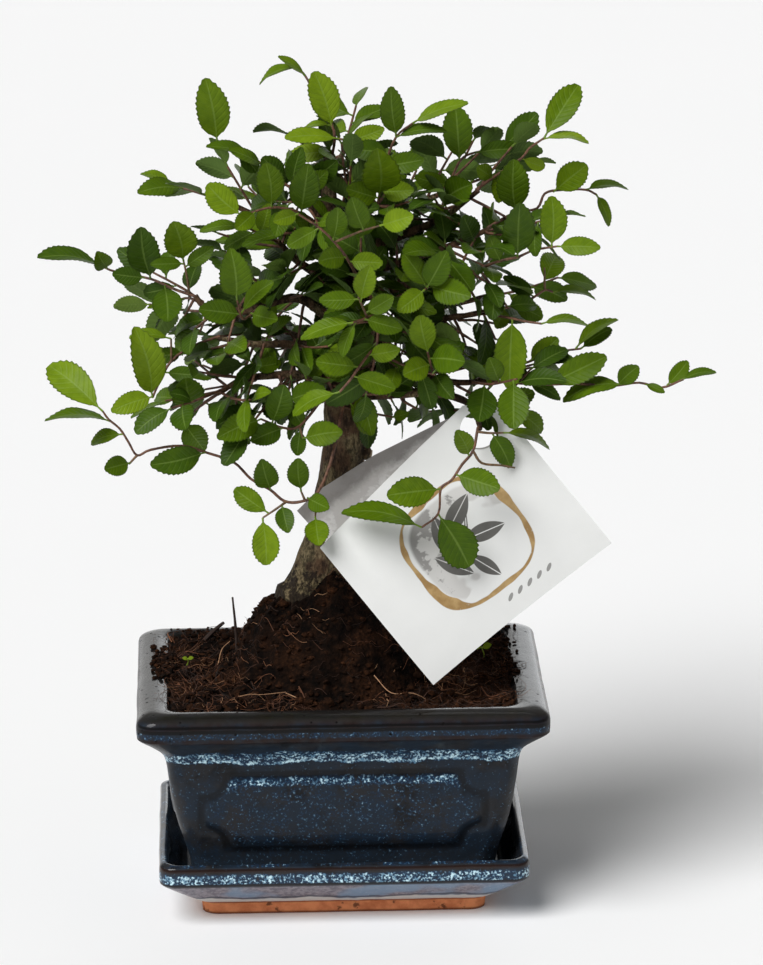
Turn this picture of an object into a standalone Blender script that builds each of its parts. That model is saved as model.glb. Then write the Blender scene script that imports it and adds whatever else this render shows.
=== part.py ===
"""A small-leaved elm grown as a mini bonsai, in a glazed pot that stands on its saucer.

The tree is a curved trunk with thin branches, and leafy sprays that stand round it. A folded card hangs
on a front twig. Frame: the middle of the saucer's foot is the origin, +X is right and +Z is up.
The tree's own places and sizes are in millimetres until a mesh is made from them.
"""
import math
import random
from collections import namedtuple

import bmesh
import bpy
from mathutils import Matrix, Vector
from mathutils.bvhtree import BVHTree

MM = 0.001
FIT = 0.3

# Pot, in millimetres: half of its length at each height, outside from the foot up
POT_WALL_OUT = [
    (12.0, 55.2), (24.0, 57.2), (37.0, 60.6), (50.0, 63.0), (61.0, 64.4), (65.5, 66.0), (69.5, 69.8),
    (73.6, 74.5), (75.0, 75.0), (80.2, 75.0), (81.6, 74.0), (83.7, 64.0),
]
POT_WALL_IN = [(83.6, 61.6), (80.0, 59.5), (71.0, 58.5), (43.0, 55.0), (18.0, 50.8)]
POT_NARROWER = 19.0
POT_CORNER = 7.0
POT_FOOT = 3.0
FOOT_CHANNELS = (34.0, 19.0)
DRAIN_RADIUS = 5.0
DRAIN_X = 18.0
PANEL_PROUD = 1.0
PANEL_LOW, PANEL_HIGH = 28.5, 56.5
PANEL_HALF_LONG, PANEL_HALF_SHORT = 49.0, 30.0
PANEL_SCOOP = 6.5

# Saucer: half of its length at each height, from the foot up and over the rim to the floor
SAUCER_WALL = [
    (0.0, 52.2), (4.6, 52.9), (6.0, 55.2), (10.2, 60.4), (14.6, 65.8), (16.2, 67.5), (17.4, 68.0),
    (22.4, 68.0), (23.9, 67.0), (23.4, 64.8), (14.6, 61.0), (12.2, 58.4), (11.7, 56.6),
]
SAUCER_NARROWER = 18.0
SAUCER_CORNER = 6.0

# Soil: its edge in the pot, and the root ball's heap round the trunk
SOIL_BOTTOM = POT_WALL_IN[-1][0] + FIT
SOIL_EDGE = 82.0
HEAP_TOP = 27.0
HEAP_CENTRE = (-2.0, 2.0)
HEAP_RADII = (36.0, 28.0)
HEAP_STEEPNESS = 3.5
SOIL_RINGS = (0.9, 0.76, 0.64, 0.53, 0.42, 0.3, 0.17)

# Trunk: places on its middle line with its radius there
TRUNK_ROUTE = [
    ((-10, 1.5, 85), 12.0), ((-10, 1.5, 112), 12.0), ((-8.8, 0.5, 118), 10.0), ((-4, 0, 133), 8.7),
    ((-0.5, 0, 150), 8.2), ((2.5, 0, 170), 8.1), ((4, 0, 187), 7.9), ((4.6, 2, 205), 6.9),
    ((3, 3, 225), 5.4), ((0, 4, 245), 4.1), ((-2, 4, 263), 2.9), ((-2, 3, 277), 1.7),
]
TRUNK_SIDES = 12
STUB_ROUTE = [(3, 0, 168), (9, -1.5, 167), (13.5, -2.5, 166.5)]
STUB_RADII = (3.2, 2.6)

# Branches: routes from the trunk's middle, and the thickness of each at its two ends
BRANCH_RADII = (2.2, 0.9)
BRANCHES = {
    "left_high": [(4.5, 2, 210), (-13, 0, 225), (-33, -4, 222), (-47, -5, 224), (-51, -5, 228)],
    "left_mid": [(4, 1, 201), (-13, -3, 208), (-30, -6, 210), (-43, -8, 213)],
    "left_lower": [(3.7, -1, 195), (-16, -6, 198), (-33, -10, 198), (-44, -12, 193)],
    "left_low": [(3.4, -2, 190), (-4, -10, 191), (-6, -12, 189)],
    "left_top": [(1.2, 3.5, 235), (-3, -3, 251), (-12, -7, 265)],
    "left_back": [(3, 3, 227), (-12, 3, 237), (-21, -5, 248)],
    "top_mid": [(-1, 4, 253), (10, -1, 256), (16, -4, 261)],
    "top_right": [(0.5, 4, 241), (20, 3, 246), (38, 0, 254), (52, -3, 265)],
    "right_high_b": [(2, 3, 231), (23, -1, 238), (41, -5, 245), (56, -8, 252)],
    "right_high": [(3.5, 2, 223), (23, -5, 230), (38, -10, 233), (52, -13, 238)],
    "right_mid": [(4.5, 2, 213), (23, -4, 217), (41, -8, 219), (57, -10, 222)],
    "right_low": [(4, 1, 197), (23, -6, 199), (41, -12, 196), (57, -15, 197)],
    "card_branch": [
        (4, -1, 188), (21, -12, 192), (36, -17, 193), (46, -18, 190.5), (49.9, -22, 185.8), (50.6, -32, 184),
    ],
    "front_mid": [(4, -1, 219), (10, -18, 232), (8, -31, 240)],
    "front_low_mid": [(4.5, -1, 207), (16, -20, 219), (14, -34, 227)],
    "front_low": [(4, -2, 198), (13, -18, 207), (13, -32, 215)],
    "back_left_high": [(2, 4, 235), (-16, 20, 245), (-36, 34, 252)],
    "back_left_low": [(4, 1, 200), (-16, 18, 207), (-42, 34, 212)],
    "back_right_high": [(0.5, 4, 243), (22, 22, 251), (44, 34, 257)],
    "back_right_low": [(4, 1, 205), (28, 18, 213), (56, 30, 217)],
    "back_mid": [(4, 2, 217), (8, 26, 227), (4, 48, 235)],
    "back_top": [(-2, 4, 259), (0, 16, 268), (4, 28, 273)],
    "back_low": [(3.5, 0, 191), (2, 20, 197), (-6, 40, 200)],
}

# Sprays that the front shows. First each spray's twigs, as (x, y, z) places. Then its leaves:
# x and z where a leaf joins, x and z of its tip, and how broad it looks from the front.
FRONT_SPRAYS = {
    "left_high": (
        [[(-52, -5, 229), (-59, -2, 230), (-67, 1, 233), (-80, 5, 235), (-85, 6, 237)],
         [(-53, -5, 230), (-54, -6, 236), (-55, -5, 241)]],
        [(-84, 237, -108, 240, 5), (-83, 236, -88, 245, 8), (-69, 234, -81, 235, 7),
         (-67, 234, -70, 251, 12), (-62, 231, -61, 216, 11), (-55, 241, -58, 254, 12),
         (-54, 239, -44, 246, 6), (-55, 240, -67, 240, 5)],
    ),
    "left_upper": (
        [[(-27, -10, 221), (-34, -20, 223), (-36, -27, 232)]],
        [(-36, 232, -38, 250, 12), (-33, 226, -23, 237, 6), (-31, 222, -22, 220, 8),
         (-35, 225, -50, 227, 9)],
    ),
    "left_inner": (
        [[(-22, -6, 249), (-27, -11, 252), (-32, -17, 256)]],
        [(-32, 256, -49, 255, 4), (-29, 254, -41, 248, 6), (-27, 252, -24, 263, 7)],
    ),
    "left_mid": (
        [[(-44, -8, 214), (-52, -12, 211), (-60, -17, 207), (-65, -21, 199), (-67, -23, 195)],
         [(-60, -17, 207), (-60, -16, 215)]],
        [(-60, 215, -75, 216, 4), (-68, 195, -72, 220, 12), (-66, 195, -82, 190, 8),
         (-56, 210, -68, 208, 6), (-62, 203, -51, 202, 6)],
    ),
    "left_lower": (
        [[(-45, -12, 192), (-52, -6, 185), (-58, 1, 176)]],
        [(-52, 184, -55, 197, 12), (-56, 179, -49, 169, 10), (-48, 189, -38, 182, 7)],
    ),
    "low_left": (
        [[(3, -10, 191), (0, -18, 181), (-3, -24, 170), (-8, -29, 160), (-14, -30, 157),
         (-20, -29, 157), (-25, -28, 161), (-32, -27, 165), (-38, -26, 171), (-47, -24, 174),
         (-57, -24, 177), (-68, -25, 176), (-73, -25, 174), (-76, -25, 179), (-79, -25, 184),
         (-83, -26, 188), (-85, -26, 191)], [(-73, -25, 174), (-76, -26, 171)], [(-19, -29, 157),
         (-23, -32, 155), (-28, -33, 152)], [(-13, -29, 158), (-14, -30, 161)], [(-8, -29, 160),
         (-9, -33, 152)]],
        [(-86, 191, -105, 210, 12), (-82, 187, -106, 188, 3), (-78, 182, -90, 179, 5),
         (-75, 171, -85, 169, 8), (-48, 175, -68, 170, 10), (-26, 154, -38, 163, 8),
         (-28, 152, -27, 134, 10), (-21, 156, -19, 146, 7), (-25, 161, -28, 172, 9),
         (-14, 161, -15, 173, 8), (-11, 157, -4, 154, 7), (-9, 152, -8, 141, 9)],
    ),
    "left_low": (
        [[(-7, -12, 188), (-14, -18, 182), (-20, -20, 182), (-28, -22, 186)], [(-14, -18, 182),
         (-13, -20, 178)]],
        [(-20, 181, -32, 177, 9), (-28, 186, -44, 179, 10), (-14, 181, -15, 171, 6),
         (-12, 178, 1, 180, 10), (-24, 184, -20, 197, 10)],
    ),
    "left_top": (
        [[(-13, -7, 269), (-22, -6, 272), (-28, -5, 278), (-35, -3, 281), (-42, -2, 284)]],
        [(-42, 284, -46, 307, 12), (-30, 279, -46, 283, 4), (-26, 276, -40, 280, 5),
         (-35, 281, -28, 273, 6), (-18, 270, -26, 279, 8), (-15, 269, -12, 282, 7)],
    ),
    "left_top_low": (
        [[(-4, -10, 252), (-13, -16, 261), (-23, -20, 264), (-34, -24, 262)]],
        [(-13, 260, -10, 277, 11), (-23, 264, -25, 280, 10), (-34, 262, -46, 274, 10),
         (-29, 263, -36, 256, 7), (-19, 262, -22, 252, 8), (-9, 257, -18, 255, 7)],
    ),
    "top_left": (
        [[(1, 0, 275), (0, 1, 287), (-6, 3, 299), (-10, 7, 306), (-13, 8, 309)], [(0, 0, 284),
         (6, -2, 284)]],
        [(0, 288, -7, 309, 11), (2, 284, -18, 284, 6), (-10, 306, -20, 313, 3),
         (-13, 309, -27, 304, 3), (-1, 289, -14, 291, 3), (6, 284, 18, 288, 7),
         (1, 279, -17, 278, 7)],
    ),
    "top_mid": (
        [[(16, -5, 262), (18, -9, 276), (22, -11, 287), (28, -11, 292)]],
        [(22, 287, 20, 305, 9), (22, 287, 40, 289, 4), (28, 292, 48, 298, 5),
         (19, 281, 6, 282, 8), (18, 276, 32, 278, 8), (17, 264, 15, 278, 14),
         (17, 263, 6, 266, 9), (17, 266, 28, 266, 10)],
    ),
    "top_right_inner": (
        [[(38, 0, 255), (40, 2, 262), (43, 4, 269), (46, 4, 275), (51, 6, 277), (61, 8, 278)]],
        [(45, 274, 44, 295, 11), (41, 266, 29, 269, 7), (51, 277, 67, 278, 7),
         (61, 278, 74, 291, 9), (40, 261, 53, 267, 11)],
    ),
    "top_right": (
        [[(52, -3, 266), (59, -7, 272), (67, -9, 278), (70, -10, 282), (75, -12, 286)]],
        [(75, 287, 88, 307, 10), (74, 286, 91, 285, 3), (57, 270, 51, 274, 7),
         (67, 278, 76, 275, 5), (62, 275, 59, 262, 6)],
    ),
    "right_high": (
        [[(53, -13, 239), (59, -16, 242), (65, -19, 244), (71, -21, 247), (79, -24, 249)]],
        [(65, 244, 65, 263, 12), (79, 249, 94, 248, 7), (77, 249, 77, 267, 10),
         (73, 248, 85, 262, 3), (59, 242, 55, 251, 7)],
    ),
    "right_high_b": (
        [[(56, -8, 253), (65, -5, 257), (73, -3, 258), (76, -1, 263), (82, 0, 264), (91, 4, 263),
         (95, 5, 261)]],
        [(65, 257, 64, 279, 12), (79, 264, 91, 273, 10), (91, 263, 107, 263, 3),
         (95, 261, 100, 249, 4), (63, 256, 59, 247, 7)],
    ),
    "right_mid": (
        [[(59, -9, 222), (67, -5, 223), (72, -3, 225), (76, -1, 227), (79, 0, 226)],
         [(76, -1, 227), (76, 1, 235)]],
        [(72, 225, 61, 233, 6), (79, 226, 95, 223, 3), (64, 223, 75, 218, 7),
         (61, 222, 55, 216, 7)],
    ),
    "right_mid_low": (
        [[(47, -9, 220), (54, -15, 222), (62, -21, 222), (67, -26, 222), (73, -30, 222)]],
        [(73, 222, 90, 222, 3), (63, 222, 62, 196, 12)],
    ),
    "right_low": (
        [[(50, -12, 197), (59, -11, 201), (68, -10, 202), (78, -7, 205), (89, -2, 205)]],
        [(89, 205, 101, 213, 6), (87, 205, 105, 209, 3), (70, 202, 80, 211, 9),
         (63, 199, 59, 208, 7)],
    ),
    "right_low_far": (
        [[(58, -15, 197), (66, -19, 197), (76, -21, 197), (87, -21, 197), (99, -21, 196),
         (109, -21, 197), (117, -21, 195), (125, -21, 198)]],
        [(76, 197, 97, 207, 10), (101, 196, 108, 203, 7), (104, 195, 81, 192, 6),
         (119, 196, 127, 205, 6), (124, 198, 137, 201, 3), (69, 196, 81, 191, 5),
         (111, 196, 118, 193, 3)],
    ),
    "right_low_front": (
        [[(48, -19, 196), (55, -27, 199), (64, -35, 203)]],
        [(63, 202, 62, 184, 12), (53, 198, 50, 184, 11), (58, 200, 54, 209, 7)],
    ),
    "card_front": (
        [[(49, -34, 184), (48, -37, 177), (44, -40, 173), (40, -43, 168), (36, -44, 165),
         (35, -45, 156), (29, -45, 151)], [(48, -37, 177), (51, -39, 173), (58, -39, 172),
         (63, -39, 171)], [(49, -34, 184), (54, -35, 183), (59, -35, 183)]],
        [(36, 165, 17, 163, 11), (41, 170, 57, 164, 10), (29, 151, 1, 150, 7),
         (35, 156, 46, 136, 14), (55, 183, 61, 171, 8), (47, 175, 42, 184, 7),
         (59, 183, 74, 174, 3)],
    ),
    "front_mid": (
        [[(7, -33, 241), (3, -39, 250), (-2, -41, 257), (-7, -42, 262), (-14, -43, 267)],
         [(-1, -41, 256), (8, -42, 260), (15, -42, 262)]],
        [(-7, 261, -18, 255, 7), (-1, 257, 0, 268, 8), (9, 261, 5, 272, 9), (15, 262, 26, 265, 9),
         (3, 250, -7, 248, 8), (4, 248, 16, 247, 8), (-14, 267, -23, 264, 6)],
    ),
    "front_low_mid": (
        [[(13, -36, 229), (9, -42, 228), (5, -47, 228)], [(11, -40, 228), (7, -46, 237)]],
        [(5, 228, -14, 223, 6), (6, 228, 1, 215, 5), (9, 228, 23, 224, 7), (7, 236, -7, 236, 7),
         (8, 235, 11, 247, 8), (10, 230, 20, 236, 7)],
    ),
    "front_low": (
        [[(13, -34, 216), (9, -39, 212), (4, -43, 206), (0, -45, 202)]],
        [(0, 202, -17, 194, 6), (5, 207, 20, 202, 8), (7, 210, -8, 212, 9),
         (10, 214, 22, 215, 8)],
    ),
    "front_right": (
        [[(38, -10, 234), (34, -22, 235), (31, -33, 236)]],
        [(32, 236, 39, 249, 10), (31, 236, 21, 228, 9), (33, 235, 47, 231, 10),
         (32, 235, 26, 245, 8)],
    ),
    "front_right_low": (
        [[(37, -12, 196), (34, -25, 204), (32, -33, 213)]],
        [(32, 212, 29, 226, 10), (33, 210, 44, 208, 11), (33, 207, 23, 203, 9),
         (35, 202, 41, 192, 8)],
    ),
}
FRONT_VIEW_DOWN = math.radians(16.6)
TO_VIEWER = Vector((0.0, -math.cos(FRONT_VIEW_DOWN), math.sin(FRONT_VIEW_DOWN)))

# Sprays at the back: the branch, how far along it, which way the twig heads, its length, its leaves
BACK_SPRAYS = [
    ("back_left_high", 1.0, (-0.9, 0.35, 0.3), 26, 5), ("back_left_high", 0.6, (-0.4, 0.9, 0.5), 24, 4),
    ("back_left_high", 0.8, (-0.5, -0.2, 0.9), 22, 4),
    ("back_left_low", 1.0, (-0.9, 0.3, -0.1), 28, 5), ("back_left_low", 0.6, (-0.2, 0.9, 0.35), 22, 4),
    ("back_left_low", 0.8, (-0.5, 0.5, -0.6), 20, 3),
    ("back_right_high", 1.0, (0.9, 0.4, 0.2), 26, 5), ("back_right_high", 0.6, (0.2, 0.9, 0.5), 24, 4),
    ("back_right_high", 0.8, (0.4, -0.1, 0.9), 22, 4),
    ("back_right_low", 1.0, (0.95, 0.2, 0.05), 28, 5), ("back_right_low", 0.6, (0.2, 0.9, -0.1), 24, 4),
    ("back_mid", 1.0, (-0.1, 0.95, 0.2), 26, 5), ("back_mid", 0.75, (0.8, 0.5, 0.3), 24, 4),
    ("back_mid", 0.8, (-0.8, 0.5, 0.1), 24, 4),
    ("back_top", 1.0, (0.2, 0.9, 0.4), 26, 5), ("back_top", 0.7, (-0.7, 0.6, 0.3), 22, 4),
    ("back_low", 1.0, (-0.4, 0.9, -0.1), 26, 4), ("back_low", 0.7, (0.8, 0.6, 0.0), 26, 4),
]

# Leaves and twigs
LEAF_SEED = 41
LEAF_THICK = 0.66
STALK_HALF = 0.5
STALK_PART = 0.1
LEAF_LENGTH = (13.0, 20.0)
LEAF_SLIM, LEAF_FULL = 0.42, 0.60
LEAF_LEAN = (-30.0, 26.0)
BIG_LEAF = 17.5
TWIG_RADII = (0.75, 0.5)
TWIG_BOWS = (0, 2.5, -2.5, 5, -5, 8, -8, 11, -11)
TOOTHED_OUTLINE = [(0.28, 0.84), (0.33, 0.74), (0.57, 1.0), (0.63, 0.82), (0.82, 0.64)]
SMALL_OUTLINE = [(0.42, 1.0), (0.50, 0.82), (0.76, 0.68)]
# What a leaf tries in turn to stay clear of its neighbours: turn, nod and size
LEAF_TRIES = [
    (0, 0, 1), (0, 14, 1), (0, -14, 1), (0, 28, 1), (0, -28, 1), (12, 0, 1), (-12, 0, 1), (12, 24, 0.9),
    (-12, -24, 0.9), (0, 42, 0.95), (0, -42, 0.95), (20, 30, 0.85), (-20, -30, 0.85), (24, -20, 0.8),
    (-24, 20, 0.8), (30, 45, 0.75), (-30, -45, 0.75),
]

# Card: corners of its front leaf, the curled corner, and the back leaf's far corner and crease
CARD_THICK = 0.8
CARD_ROOM = 1.2
CARD_LEFT, CARD_FOOT, CARD_RIGHT = (-7.5, -38, 141.8), (32.9, -46, 91.5), (98.2, -36, 141.1)
CARD_TOP, CARD_CURL = (57.8, -28, 191.4), (45, -25, 190.6)
CARD_BACK_CORNER = (-15.3, -15, 149)
CARD_BACK_FOOT = (17, -28, 97)
CARD_CREASE = (0.9, 0.72)
CARD_HOLE = (51.8, -30.3, 181.3)
CARD_HOLE_RADIUS = 6.0

COLOURS = {
    "pot": (0.020, 0.036, 0.062), "saucer": (0.024, 0.045, 0.085), "soil": (0.045, 0.026, 0.016),
    "trunk": (0.115, 0.080, 0.055), "label_card": (0.78, 0.79, 0.78), "spray": (0.075, 0.165, 0.020),
}

FLAT_ENOUGH = math.radians(0.3)

Leaf = namedtuple("Leaf", "root axis face length width arch")


def smooth_route(points, steps):
    """A rounded curve through the points, with a number of steps between each two."""
    points = [Vector(p) for p in points]
    ends = [points[0] * 2 - points[1]] + points + [points[-1] * 2 - points[-2]]
    route = []
    for a, b, c, d in zip(ends, ends[1:], ends[2:], ends[3:]):
        for i in range(steps):
            t = i / steps
            route.append(0.5 * (2 * b + (c - a) * t + (2 * a - 5 * b + 4 * c - d) * t * t
                                + (3 * b - a - 3 * c + d) * t ** 3))
    return route + [points[-1]]


def taper(ends, count):
    return [ends[0] + (ends[1] - ends[0]) * i / (count - 1) for i in range(count)]


def branch_route(name):
    """A branch's route, rounded where it has few places of its own."""
    places = BRANCHES[name]
    return smooth_route(places, 2 if len(places) == 3 else 1)


def nearest_on(route, place, flat=False):
    """The place on the route nearest to a point, and how far off it is. Flat ignores depth."""
    best = None
    for a, b in zip(route, route[1:]):
        run, to = b - a, place - a
        if flat:
            run, to = Vector((run.x, 0, run.z)), Vector((to.x, 0, to.z))
        t = max(0.0, min(1.0, to.dot(run) / max(run.dot(run), 1e-9)))
        off = (to - run * t).length
        if best is None or off < best[1]:
            best = (a + (b - a) * t, off)
    return best


def turned(vector, axis, degrees):
    return Matrix.Rotation(math.radians(degrees), 3, axis) @ vector


class Clearance:
    """Remembers what is already in the crown, and says whether a new piece would touch any of it."""

    def __init__(self):
        self.kept = []

    def boxed(self, points, faces, owner):
        low = [min(p[k] for p in points) for k in range(3)]
        high = [max(p[k] for p in points) for k in range(3)]
        return low, high, BVHTree.FromPolygons(points, faces), owner

    def add(self, points, faces, owner):
        self.kept.append(self.boxed(points, faces, owner))

    def touches(self, points, faces, owners_left_out=()):
        low, high, tree, _ = self.boxed(points, faces, None)
        for other_low, other_high, other_tree, owner in self.kept:
            if owner in owners_left_out:
                continue
            if all(low[k] <= other_high[k] and other_low[k] <= high[k] for k in range(3)):
                if tree.overlap(other_tree):
                    return True
        return False


def tube_shell(route, radii, sides=6):
    """Points and faces of a plain tube round a route, for testing what touches it."""
    points, faces = [], []
    for i, place in enumerate(route):
        along = (route[min(i + 1, len(route) - 1)] - route[max(i - 1, 0)]).normalized()
        across = along.orthogonal().normalized()
        other = along.cross(across)
        for k in range(sides):
            angle = math.tau * k / sides
            points.append(place + (across * math.cos(angle) + other * math.sin(angle)) * radii[i])
    for i in range(len(route) - 1):
        for k in range(sides):
            a, b = i * sides + k, i * sides + (k + 1) % sides
            faces += [(a, b, b + sides), (a, b + sides, a + sides)]
    return points, faces


def blade(leaf, outline, thick, stalk=0.0):
    """Points and faces of a leaf: a toothed plate that arches from its stalk to its tip."""
    side = leaf.axis.cross(leaf.face)
    top = []
    for t, broad in [(stalk, 0.0)] + outline:
        middle = leaf.root + leaf.axis * leaf.length * t + leaf.face * leaf.arch * math.sin(math.pi * t)
        half = max(STALK_HALF, 0.5 * leaf.width * broad)
        top += [middle - side * half, middle + side * half]
    top.append(leaf.root + leaf.axis * leaf.length)
    count = len(top)
    points = [p + leaf.face * thick / 2 for p in top] + [p - leaf.face * thick / 2 for p in top]
    ladder = []
    for i in range(0, count - 3, 2):
        ladder += [(i, i + 1, i + 3), (i, i + 3, i + 2)]
    ladder.append((count - 3, count - 2, count - 1))
    faces = ladder + [(c + count, b + count, a + count) for a, b, c in ladder]
    rim = list(range(0, count, 2)) + list(range(count - 2, 0, -2))
    for a, b in zip(rim, rim[1:] + rim[:1]):
        faces += [(a, b, b + count), (a, b + count, a + count)]
    return points, faces


def leaf_outline(leaf):
    return TOOTHED_OUTLINE if leaf.length > BIG_LEAF else SMALL_OUTLINE


def leaf_seen(rng, twigs, x, z, tip_x, tip_z, broad):
    """A leaf from how it looks from the front: leant near or away, and turned edge-on, to look so."""
    twig = min(twigs, key=lambda t: nearest_on(t, Vector((x, 0, z)), flat=True)[1])
    root = nearest_on(twig, Vector((x, 0, z)), flat=True)[0]
    tip = Vector((tip_x, root.y, tip_z))
    seen = (tip - root).length
    length = max(seen, broad / (LEAF_FULL - 0.02))
    nearer = math.sqrt(max(0.0, length * length - seen * seen))
    nearer += seen * math.tan(math.radians(rng.uniform(*LEAF_LEAN)))
    tip += Vector((0, -nearer, nearer * math.tan(FRONT_VIEW_DOWN)))
    axis = (tip - root).normalized()
    length = (tip - root).length
    width = max(LEAF_SLIM * length, min(LEAF_FULL * length, broad))
    roll = math.degrees(math.acos(min(1.0, broad / width))) * 0.95
    face = (TO_VIEWER - axis * axis.dot(TO_VIEWER)).normalized()
    up_side, down_side = turned(face, axis, roll), turned(face, axis, -roll)
    face = up_side if up_side.z >= down_side.z else down_side
    return Leaf(root, axis, face, length, width, length * (0.03 + 0.10 * roll / 90))


def leaf_placed(leaf, clear, owner):
    """The leaf, turned or nodded until it is clear of the other sprays. None where nothing helps."""
    for turn, nod, size in LEAF_TRIES:
        axis = turned(leaf.axis, leaf.face, turn)
        side = axis.cross(leaf.face)
        axis, face = turned(axis, side, nod), turned(leaf.face, side, nod)
        tried = leaf._replace(axis=axis, face=face, length=leaf.length * size, width=leaf.width * size)
        points, faces = blade(tried, leaf_outline(tried), LEAF_THICK + 2 * FIT, STALK_PART)
        if not clear.touches(points, faces, (owner + " twigs",)):
            clear.add(points, faces, owner)
            return tried
    return None


def surface_of(obj):
    """The faces of a mesh object as a search tree in millimetres."""
    points = [vert.co / MM for vert in obj.data.vertices]
    return BVHTree.FromPolygons(points, [face.vertices for face in obj.data.polygons])


def seat_twig(twig, wood):
    """Moves a twig's first point along the twig to just off the wood that carries it."""
    begin = twig[1]
    back = (wood.find_nearest(twig[0])[0] - begin).normalized()
    across = back.orthogonal().normalized()
    reach = []
    for k in range(9):
        corner = turned(across, back, 45 * k) * TWIG_RADII[0] if k < 8 else Vector((0, 0, 0))
        distance = wood.ray_cast(begin + corner, back)[3]
        if distance is not None:
            reach.append(distance)
    return [begin + back * (min(reach) - FIT)] + twig[1:]


def bent_clear(twig, clear, owner):
    """A twig bowed to one side or the other until it is clear of the other sprays and of the wood."""
    for bow in TWIG_BOWS:
        for way in (Vector((0, 1, 0)), Vector((0.3, 0.2, 0.9))):
            tried = [p + way * bow * math.sin(math.pi / 2 * min(1, i / 3)) for i, p in enumerate(twig)]
            begin = [tried[0].lerp(tried[1], 0.35)] + tried[1:]
            points, faces = tube_shell(begin, [TWIG_RADII[0] + FIT] * len(begin))
            if not clear.touches(points, faces, (owner + " twigs",)):
                clear.add(points, faces, owner + " twigs")
                return tried
    return None


def spray_ahead(rng, start, heading, length, count):
    """A twig that heads one way with leaves on alternate sides and one at its end, not yet tested."""
    heading = Vector(heading).normalized()
    outward = Vector((start.x, start.y, 0)).normalized() * 0.7 + Vector((0, 0, 1))
    face = (outward - heading * outward.dot(heading)).normalized()
    face = turned(face, heading, rng.uniform(-30, 30))
    side = heading.cross(face)
    bow = rng.uniform(-0.12, 0.12) * length
    lift = rng.uniform(-0.10, 0.16) * length
    steps = (0, 0.35, 0.7, 1)
    twig = [start + heading * length * t + side * bow * t * t + face * lift * t * t for t in steps]
    leaves = []
    for k in range(count):
        last = k == count - 1
        t = 1.0 if last else 0.28 + 0.68 * k / (count - 1)
        hand = 0 if last else (1 if k % 2 else -1)
        open_angle = hand * rng.uniform(42, 64)
        axis = turned(heading, face, open_angle)
        own_face = turned(face, axis, rng.uniform(-32, 32))
        own_side = axis.cross(own_face)
        nod = rng.uniform(-26, 14)
        axis, own_face = turned(axis, own_side, nod), turned(own_face, own_side, nod)
        size = rng.uniform(*LEAF_LENGTH) * (1.0 if 0 < k < count - 1 else 0.88)
        full = rng.uniform(0.46, 0.56)
        leaves.append((t, Leaf(None, axis, own_face, size, size * full, size * rng.uniform(0.03, 0.10))))
    return twig, leaves


def point_along(route, t):
    spans = [(b - a).length for a, b in zip(route, route[1:])]
    left = t * sum(spans)
    for a, b, span in zip(route, route[1:], spans):
        if left <= span:
            return a.lerp(b, left / span)
        left -= span
    return route[-1].copy()


def card_shells():
    """The card's two leaves as flat corner loops: front first, then back."""
    front = [Vector(p) for p in (CARD_LEFT, CARD_FOOT, CARD_RIGHT, CARD_TOP, CARD_CURL)]
    edge = Vector(CARD_FOOT).lerp(Vector(CARD_RIGHT), CARD_CREASE[0])
    crease = Vector(CARD_TOP).lerp(edge, CARD_CREASE[1])
    back = [Vector(p) for p in (CARD_TOP, CARD_BACK_CORNER, CARD_BACK_FOOT)] + [crease]
    return front, back


def wood_routes():
    """The middle line and the radii of the trunk, then of each branch."""
    routes = [(smooth_route([p for p, _ in TRUNK_ROUTE], 1), [r for _, r in TRUNK_ROUTE])]
    for name in BRANCHES:
        route = branch_route(name)
        routes.append((route, taper(BRANCH_RADII, len(route))))
    return routes


def plan_crown(routes, wood):
    """Every spray as (name, twigs, leaves), all clear of each other, of the wood and of the card."""
    rng = random.Random(LEAF_SEED)
    clear = Clearance()
    for route, radii in routes:
        clear.add(*tube_shell(route, [r + FIT for r in radii]), "wood")
    for corners in card_shells():
        for a, b, c in [(0, i, i + 1) for i in range(1, len(corners) - 1)]:
            lift = Vector((0, CARD_ROOM, 0))
            loop = [corners[a], corners[b], corners[c]]
            prism = [p + lift for p in loop] + [p - lift for p in loop]
            clear.add(prism, [(0, 1, 2), (3, 4, 5), (0, 1, 4), (0, 4, 3), (1, 2, 5), (1, 5, 4), (2, 0, 3),
                              (2, 3, 5)], "card")
    sprays = []
    for name, (twigs, _) in FRONT_SPRAYS.items():
        twigs = [[Vector(p) for p in twig] for twig in twigs]
        main = bent_clear(seat_twig(twigs[0], wood), clear, name)
        if main is None:
            print("no room for the twig of", name)
            continue
        main = seat_twig(main, wood)
        kept = [main]
        for twig in twigs[1:]:
            twig = [nearest_on(main, twig[0])[0]] + twig[1:]
            twig = bent_clear(twig, clear, name)
            if twig:
                kept.append(twig)
        sprays.append((name, kept, []))
    back = []
    for i, (branch, t, heading, length, count) in enumerate(BACK_SPRAYS):
        route = branch_route(branch)
        start = point_along(route, t)
        twig, leaves = spray_ahead(rng, start, heading, length, count)
        name = "%s_%d" % (branch, i)
        twig = bent_clear(seat_twig(twig, wood), clear, name)
        if twig:
            sprays.append((name, [seat_twig(twig, wood)], []))
            back.append((sprays[-1], leaves))
    for name, twigs, leaves in sprays:
        for seen in FRONT_SPRAYS.get(name, ((), ()))[1]:
            leaf = leaf_placed(leaf_seen(rng, twigs, *seen), clear, name)
            if leaf:
                leaves.append(leaf)
    for (name, twigs, kept), leaves in back:
        for t, leaf in leaves:
            leaf = leaf_placed(leaf._replace(root=point_along(twigs[0], min(t, 0.985))), clear, name)
            if leaf:
                kept.append(leaf)
    return sprays


def material(name, colour, roughness):
    finish = bpy.data.materials.new(name)
    finish.use_nodes = True
    shader = finish.node_tree.nodes["Principled BSDF"]
    shader.inputs["Base Color"].default_value = (*colour, 1)
    shader.inputs["Roughness"].default_value = roughness
    shader.inputs["Metallic"].default_value = 0.0
    return finish


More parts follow.
